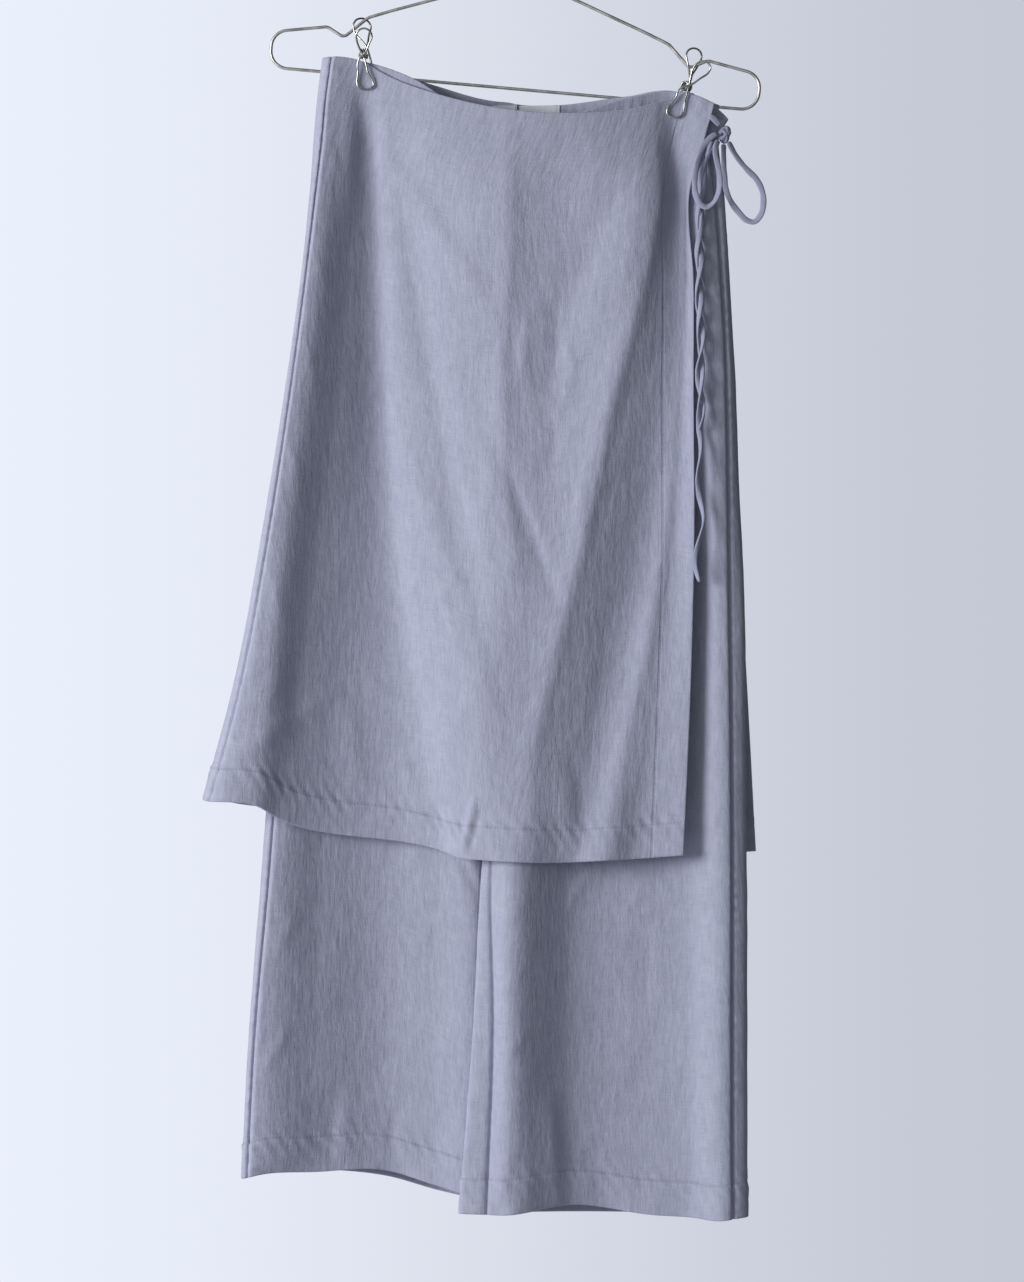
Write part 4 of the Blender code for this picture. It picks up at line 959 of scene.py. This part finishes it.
label_lines = sorted(
    [line for line in RIGHT_LEG_BACK if line.name in ("back_middle", "back_inner", "back_seam")]
    + [line for line in LEFT_LEG_BACK if line.name in ("back_inner", "back_middle")],
    key=lambda line: line.across[0])
label = []
for drop in np.linspace(LABEL_TOP_DROP, LABEL_TOP_DROP + LABEL_HEIGHT, LABEL_ROWS):
    places = np.array([[curve_through(CULOTTE_LEVELS, values, [drop])[0]
                        for values in (line.across, line.depth)] for line in label_lines])
    across = np.linspace(LABEL_LEFT, LABEL_RIGHT, LABEL_COLUMNS)
    depth = curve_through(places[:, 0], places[:, 1], across) - LABEL_OUT
    ends = np.minimum(across - LABEL_LEFT, LABEL_RIGHT - across)
    depth += 0.25 * np.exp(-((ends - 1.5) / 0.8) ** 2) + 0.12 * np.sin(across / 4)
    label.append(np.stack([across, depth, np.full(LABEL_COLUMNS, -drop)], axis=1))
label = np.array(label)

satin, tree, shader = new_material("white woven satin label",
                                   {"Roughness": 0.42, "Sheen Weight": 0.3})
place = add_node(tree, "ShaderNodeUVMap", {"uv_map": "cloth"}).outputs["UV"]
threads = add_node(tree, "ShaderNodeTexWave", {"bands_direction": "X", "Scale": 320.0,
                                               "Distortion": 2.0, "Detail": 2.0},
                   {"Vector": place})
colour = add_node(tree, "ShaderNodeMix", {"data_type": "RGBA", 6: linear("#DCE0EA"),
                                          7: linear("#EEF1F7")}, {0: threads.outputs["Fac"]})
bump = add_node(tree, "ShaderNodeBump", {"Strength": 0.4, "Distance": 0.2 * MM},
                {"Height": threads.outputs["Fac"]})
tree.links.new(colour.outputs[2], shader.inputs["Base Color"])
tree.links.new(bump.outputs[0], shader.inputs["Normal"])

facing = surface_normals(label)
flat = np.stack([along_rows(label), -label[..., 2]], axis=-1).reshape(-1, 2) * MM
quads = grid_quads(len(label), LABEL_COLUMNS)[1][:, ::-1].tolist()
label_piece = mesh_object("waist_label_satin", label.reshape(-1, 3), quads, {"cloth": flat}, satin)
thickness = label_piece.modifiers.new("woven thickness", "SOLIDIFY")
thickness.thickness = 0.45 * MM
thickness.offset = -1
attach(label_piece, "root")
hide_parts("waist_label")

# ----------------------------------------
# Hanger: one length of stainless wire, bent to a hook, a shank and a frame with a notch for each
# clip. It hangs a little askew, the viewer's left end higher.
HANGER_WIRE = 2.6
HANGER_TILT = math.radians(-5.1)
HOOK_HEIGHT = 167.0
HOOK_INNER_RADIUS = 20.0
HOOK_ANGLES = range(195, -46, -20)
WIRE_SIDES = 12
WIRE_START_WAY = (0.3, 0.9, 0.2)
BEND_TURN = math.radians(6)


def stainless(name, light, dark, roughness, grain_mm):
    """Drawn stainless wire: bright, with faint lengthwise drawing marks and dull handled spots."""
    made, tree, shader = new_material(name, {"Metallic": 1.0})
    place = add_node(tree, "ShaderNodeTexCoord").outputs["Object"]
    spots = add_node(tree, "ShaderNodeTexNoise", {"Scale": 1000 / 9, "Detail": 3.0},
                     {"Vector": place})
    marks = add_node(tree, "ShaderNodeTexNoise", {"Scale": 1000 / grain_mm, "Detail": 4.0},
                     {"Vector": place})
    colour = add_node(tree, "ShaderNodeValToRGB", (), {0: spots.outputs["Fac"]})
    ramp = colour.color_ramp
    ramp.elements[0].color, ramp.elements[1].color = linear(dark), linear(light)
    ramp.elements[0].position, ramp.elements[1].position = 0.35, 0.62
    rough = add_node(tree, "ShaderNodeMapRange", {"To Min": roughness * 0.6,
                                                  "To Max": roughness * 1.5},
                     {"Value": spots.outputs["Fac"]})
    bump = add_node(tree, "ShaderNodeBump", {"Strength": 0.2, "Distance": 0.05 * MM},
                    {"Height": marks.outputs["Fac"]})
    tree.links.new(colour.outputs[0], shader.inputs["Base Color"])
    tree.links.new(rough.outputs[0], shader.inputs["Roughness"])
    tree.links.new(bump.outputs[0], shader.inputs["Normal"])
    return made


def bent(corners):
    """Path through (place, radius) corners, each but the ends rounded by an arc of its radius."""
    path = [Vector(corners[0][0])]
    for number, (place, radius) in enumerate(corners[1:-1], 1):
        place = Vector(place)
        before = (Vector(corners[number - 1][0]) - place).normalized()
        after = (Vector(corners[number + 1][0]) - place).normalized()
        angle = math.pi - before.angle(after)
        reach = radius * math.tan(angle / 2)
        middle = place + (before + after).normalized() * radius / math.cos(angle / 2)
        start = (place + before * reach - middle).normalized()
        end = (place + after * reach - middle).normalized()
        steps = max(1, round(angle / BEND_TURN))
        for step in range(steps + 1):
            path.append(middle + start.slerp(end, step / steps) * radius)
    path.append(Vector(corners[-1][0]))
    return path


def add_wire(name, points, diameter, finish, closed=False, spread=None):
    """Round drawn wire through points in millimetres, smoothed between them."""
    path = np.array([tuple(point) for point in points], float)
    if closed:
        path = np.concatenate([path[-2:], path, path[:3]])
    if spread:
        places = along(path)
        first, last = (places[2], places[-3]) if closed else (0, places[-1])
        count = round((last - first) / spread)
        path = curve_through(places, path, np.linspace(first, last, count, endpoint=not closed))
    start = path[1] - (path[-1] if closed else path[0])
    _, ways, other_ways = frames_along(path, np.cross(start, WIRE_START_WAY), closed)
    round_it = np.linspace(0, 2 * math.pi, WIRE_SIDES, endpoint=False)[:, None]
    rings = path[:, None] + diameter / 2 * (np.cos(round_it) * ways[:, None]
                                            + np.sin(round_it) * other_ways[:, None])
    faces = tube_faces(len(path), WIRE_SIDES, closed)
    if not closed:
        last = (len(path) - 1) * WIRE_SIDES
        faces += [tuple(range(WIRE_SIDES - 1, -1, -1)), tuple(range(last, last + WIRE_SIDES))]
    made = mesh_object(name, rings.reshape(-1, 3), faces, {}, finish)
    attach(made, "root")
    return made


bright_wire = stainless("drawn stainless wire", "#E9E9E6", "#C4C4C1", 0.36, 0.7)

# Corners of the frame's right half, as ((across, height), bend radius).
right_side = (
    ((0, 91), 3), ((49.4, 73.3), 60), ((102.5, 54), 30), ((121.4, 46.6), 12),
    ((139.6, 29), 5), ((153.5, 36.4), 6), ((197, 28.6), 13.6), ((197, 0), 14),
)
hook_radius = HOOK_INNER_RADIUS + HANGER_WIRE / 2
hook_middle = HOOK_HEIGHT - HOOK_INNER_RADIUS
corners = []
for degrees in HOOK_ANGLES:
    angle = math.radians(degrees)
    corners.append(((hook_radius * math.cos(angle),
                     hook_middle + hook_radius * math.sin(angle)), 3))
corners += [((0, 116), 12)] + list(right_side)
corners += [((-u, v), radius) for (u, v), radius in reversed(right_side[1:])]
corners.append(((-3.4, 89.8), 0))
flat = bent([((u, 0, v - HOOK_HEIGHT), radius) for (u, v), radius in corners])
tilted = [(p.x * math.cos(HANGER_TILT) - p.z * math.sin(HANGER_TILT), 0,
           p.x * math.sin(HANGER_TILT) + p.z * math.cos(HANGER_TILT)) for p in flat]
hanger = add_wire("hanger_wire", tilted, HANGER_WIRE, bright_wire)
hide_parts("hanger")

# ----------------------------------------
# Clips: each is two levers of springy stainless wire on a coil between them. A lever is one
# closed loop, its jaw below the coil and its ring above, and the hanger runs through a ring.
CLIP_WIRE = 1.6
CLIP_COIL_RADIUS = 3.5
CLIP_COIL_WIDTH = 6.4
CLIP_COIL_TURNS = 3.5
CLIP_COIL_RINGS = 28
CLIP_WIRE_STEP = 0.8
CLIP_DEPTH = -14.0

# A lever's points are right of, below and in front of the middle of its coil.
Clip = namedtuple("Clip", "side across drop yaw front_lever back_lever")
CLIPS = (
    Clip(
        "left", -135.2, 139.8, 0,
        ((-4.2, 16, 5.9), (-4.1, 26.4, 5.5), (-3, 27.8, 5.4), (7.2, 27.4, 5.4), (8.4, 26.2, 5.4),
         (8.3, 24.4, 5.5), (3.8, 15.4, 5.9), (1.4, 5.6, 6), (-1.4, -0.5, 6.2), (-5.1, -10.7, 9.7),
         (-5.2, -14.4, 10.8), (-3.2, -17.6, 11.8), (0.3, -19, 12.2), (3.9, -18.2, 12),
         (6.5, -15.4, 11.1), (7, -11.7, 10.2), (5.6, -8.8, 9.6), (1, 0.8, 8.2), (-2.6, 4, 8),
         (-4.2, 8, 7.4)),
        ((-4.6, 14, -5.9), (-4.6, 26, -5.6), (-3.6, 27.4, -5.6), (8.6, 27.4, -5.6),
         (9.6, 26, -5.6), (7.6, 13, -6), (5.2, 2, -6.2), (2.8, -5.6, -6.4), (-7.7, -20.3, -9),
         (-8.2, -24.4, -8.6), (-6.3, -28.1, -10.1), (-2.6, -30, -13.6), (1.5, -29.5, -18.2),
         (4.6, -26.7, -19.6), (5.5, -22.6, -19.6), (4.6, -19.8, -18.8), (2.8, -8, -10),
         (0.6, -2, -8.4), (-3.6, 3.6, -8.2)),
    ),
    Clip(
        "right", 123.7, 165.7, 45,
        ((-8.3, 9.1, 6.6), (-15.6, 20.6, 6.1), (-15.4, 22.4, 6), (-6, 25.5, 6), (-4.6, 24.6, 6),
         (-1.1, 12.2, 6.4), (0.8, 4.6, 6.6), (2.4, -2, 6.8), (3.6, -8, 7.6), (5.4, -13.7, 8.8),
         (8.6, -17.4, 10), (12.6, -18.9, 10.6), (16.6, -17.6, 10.8), (19, -13.9, 10.6),
         (17.6, -10.2, 10), (10.5, -5, 9.2), (3.8, -0.4, 8.8), (-2.8, 1.6, 8.6), (-6.6, 4.2, 7.6)),
        ((-9, 9, -6.6), (-15, 20, -6.4), (-14.8, 21.6, -6.4), (-5, 24.6, -6.4),
         (-3.8, 23.4, -6.4), (0.6, 11, -6.6), (2.6, 2, -6.8), (3, -7, -7.4), (1.7, -18.4, -11),
         (0.9, -23, -11.2), (0.4, -26.8, -11.4), (2.1, -30.2, -12.2), (5.5, -31.9, -13.6),
         (9.3, -31.4, -15.2), (12.1, -28.9, -16.6), (12.9, -25.2, -17.4), (11.8, -22.1, -17.4),
         (9.3, -17.2, -17.3), (5, -10, -12.4), (3.4, -4.5, -9.6), (-3, 2.5, -8.8)),
    ),
)

spring_wire = stainless("polished spring wire", "#CFCFCB", "#8F8F8C", 0.27, 0.5)
for clip in CLIPS:
    def placed(right, down, towards):
        return (clip.across + right, CLIP_DEPTH - towards, -clip.drop - down)

    for part, lever in (("front_lever", clip.front_lever), ("back_lever", clip.back_lever)):
        piece = add_wire(f"clip_{clip.side}_{part}_wire", [placed(*corner) for corner in lever],
                         CLIP_WIRE, spring_wire, closed=True, spread=CLIP_WIRE_STEP)
        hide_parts(f"clip_{clip.side}_{part}")
    yaw = math.radians(clip.yaw)
    coil = []
    for share in np.linspace(0, 1, round(CLIP_COIL_TURNS * CLIP_COIL_RINGS) + 1):
        angle = share * CLIP_COIL_TURNS * 2 * math.pi
        run = (share - 0.5) * CLIP_COIL_WIDTH
        away = CLIP_COIL_RADIUS * math.cos(angle)
        coil.append(placed(run * math.cos(yaw) + away * math.sin(yaw),
                           CLIP_COIL_RADIUS * math.sin(angle),
                           away * math.cos(yaw) - run * math.sin(yaw)))
    piece = add_wire(f"clip_{clip.side}_coil_wire", coil, CLIP_WIRE, spring_wire)
    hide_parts(f"clip_{clip.side}_coil")

# ----------------------------------------
# Studio: a pale blue-white wall far behind, with painted light making it brighter on the viewer's
# left, one big soft window on the left and a pale floor well below the hems.
# The wall is a colour seen only by the camera; its fall from WALL_LEFT to WALL_RIGHT is painted
# light.
WALL_LEFT = "#EBF1FC"
WALL_RIGHT = "#C4C7D4"
WALL_SPAN = (-0.11, 0.11)
ROOM_LEFT = "#F4F5F8"
ROOM_RIGHT = "#4C4D52"
ROOM_SPAN = (-0.9, 0.7)
ROOM_STRENGTH = 0.5
FLOOR_DROP = 1.52
FLOOR_RADIUS = 1.0

bpy.context.scene.view_settings.view_transform = "Standard"
world = bpy.data.worlds.new("studio")
bpy.context.scene.world = world
world.use_nodes = True
tree = world.node_tree
tree.nodes.clear()
way = add_node(tree, "ShaderNodeSeparateXYZ", (), {
    0: add_node(tree, "ShaderNodeTexCoord").outputs["Generated"]})


def sideways(left, right, start, end):
    """A colour that goes from left to right between two values of the view's X direction."""
    share = add_node(tree, "ShaderNodeMapRange", {
        "interpolation_type": "SMOOTHSTEP", "From Min": start, "From Max": end},
        {"Value": way.outputs["X"]})
    return add_node(tree, "ShaderNodeMix", {"data_type": "RGBA", 6: linear(left),
                                            7: linear(right)}, {0: share.outputs[0]}).outputs[2]


# The wall the camera sees, with its painted light from left to right.
wall = sideways(WALL_LEFT, WALL_RIGHT, *WALL_SPAN)
room = sideways(ROOM_LEFT, ROOM_RIGHT, *ROOM_SPAN)
seen = add_node(tree, "ShaderNodeBackground", {"Strength": 1.0}, {"Color": wall})
lit = add_node(tree, "ShaderNodeBackground", {"Strength": ROOM_STRENGTH}, {"Color": room})
pick = add_node(tree, "ShaderNodeMixShader", (), {
    0: add_node(tree, "ShaderNodeLightPath").outputs["Is Camera Ray"],
    1: lit.outputs[0], 2: seen.outputs[0]})
add_node(tree, "ShaderNodeOutputWorld", (), {"Surface": pick.outputs[0]})

for name, place, target, size, power in (
        ("window", (-2.58, -1.75, -0.2), (0, 0, -0.62), 1.5, 80),
        ("room_fill", (0.9, -3.4, 0.2), (0, 0, -0.6), 2.6, 6)):
    light = bpy.data.objects.new(name, bpy.data.lights.new(name, "AREA"))
    light.data.shape = "DISK"
    light.data.size = size
    light.data.energy = power
    light.location = place
    aim = Vector(target) - Vector(place)
    light.rotation_euler = aim.to_track_quat("-Z", "Y").to_euler()
    bpy.context.scene.collection.objects.link(light)

floor_finish, tree, shader = new_material("pale painted floor", {"Roughness": 0.7})
place = add_node(tree, "ShaderNodeTexCoord").outputs["Object"]
grain = add_node(tree, "ShaderNodeTexNoise", {"Scale": 9.0, "Detail": 5.0}, {"Vector": place})
colour = add_node(tree, "ShaderNodeValToRGB", (), {0: grain.outputs["Fac"]})
colour.color_ramp.elements[0].color = linear("#DADDE7")
colour.color_ramp.elements[1].color = linear("#E4E7F0")
tree.links.new(colour.outputs[0], shader.inputs["Base Color"])
bpy.ops.mesh.primitive_circle_add(vertices=96, radius=FLOOR_RADIUS, fill_type="NGON",
                                  location=(0, 0, -FLOOR_DROP))
floor = bpy.context.object
floor.name = "floor"
floor.data.materials.append(floor_finish)
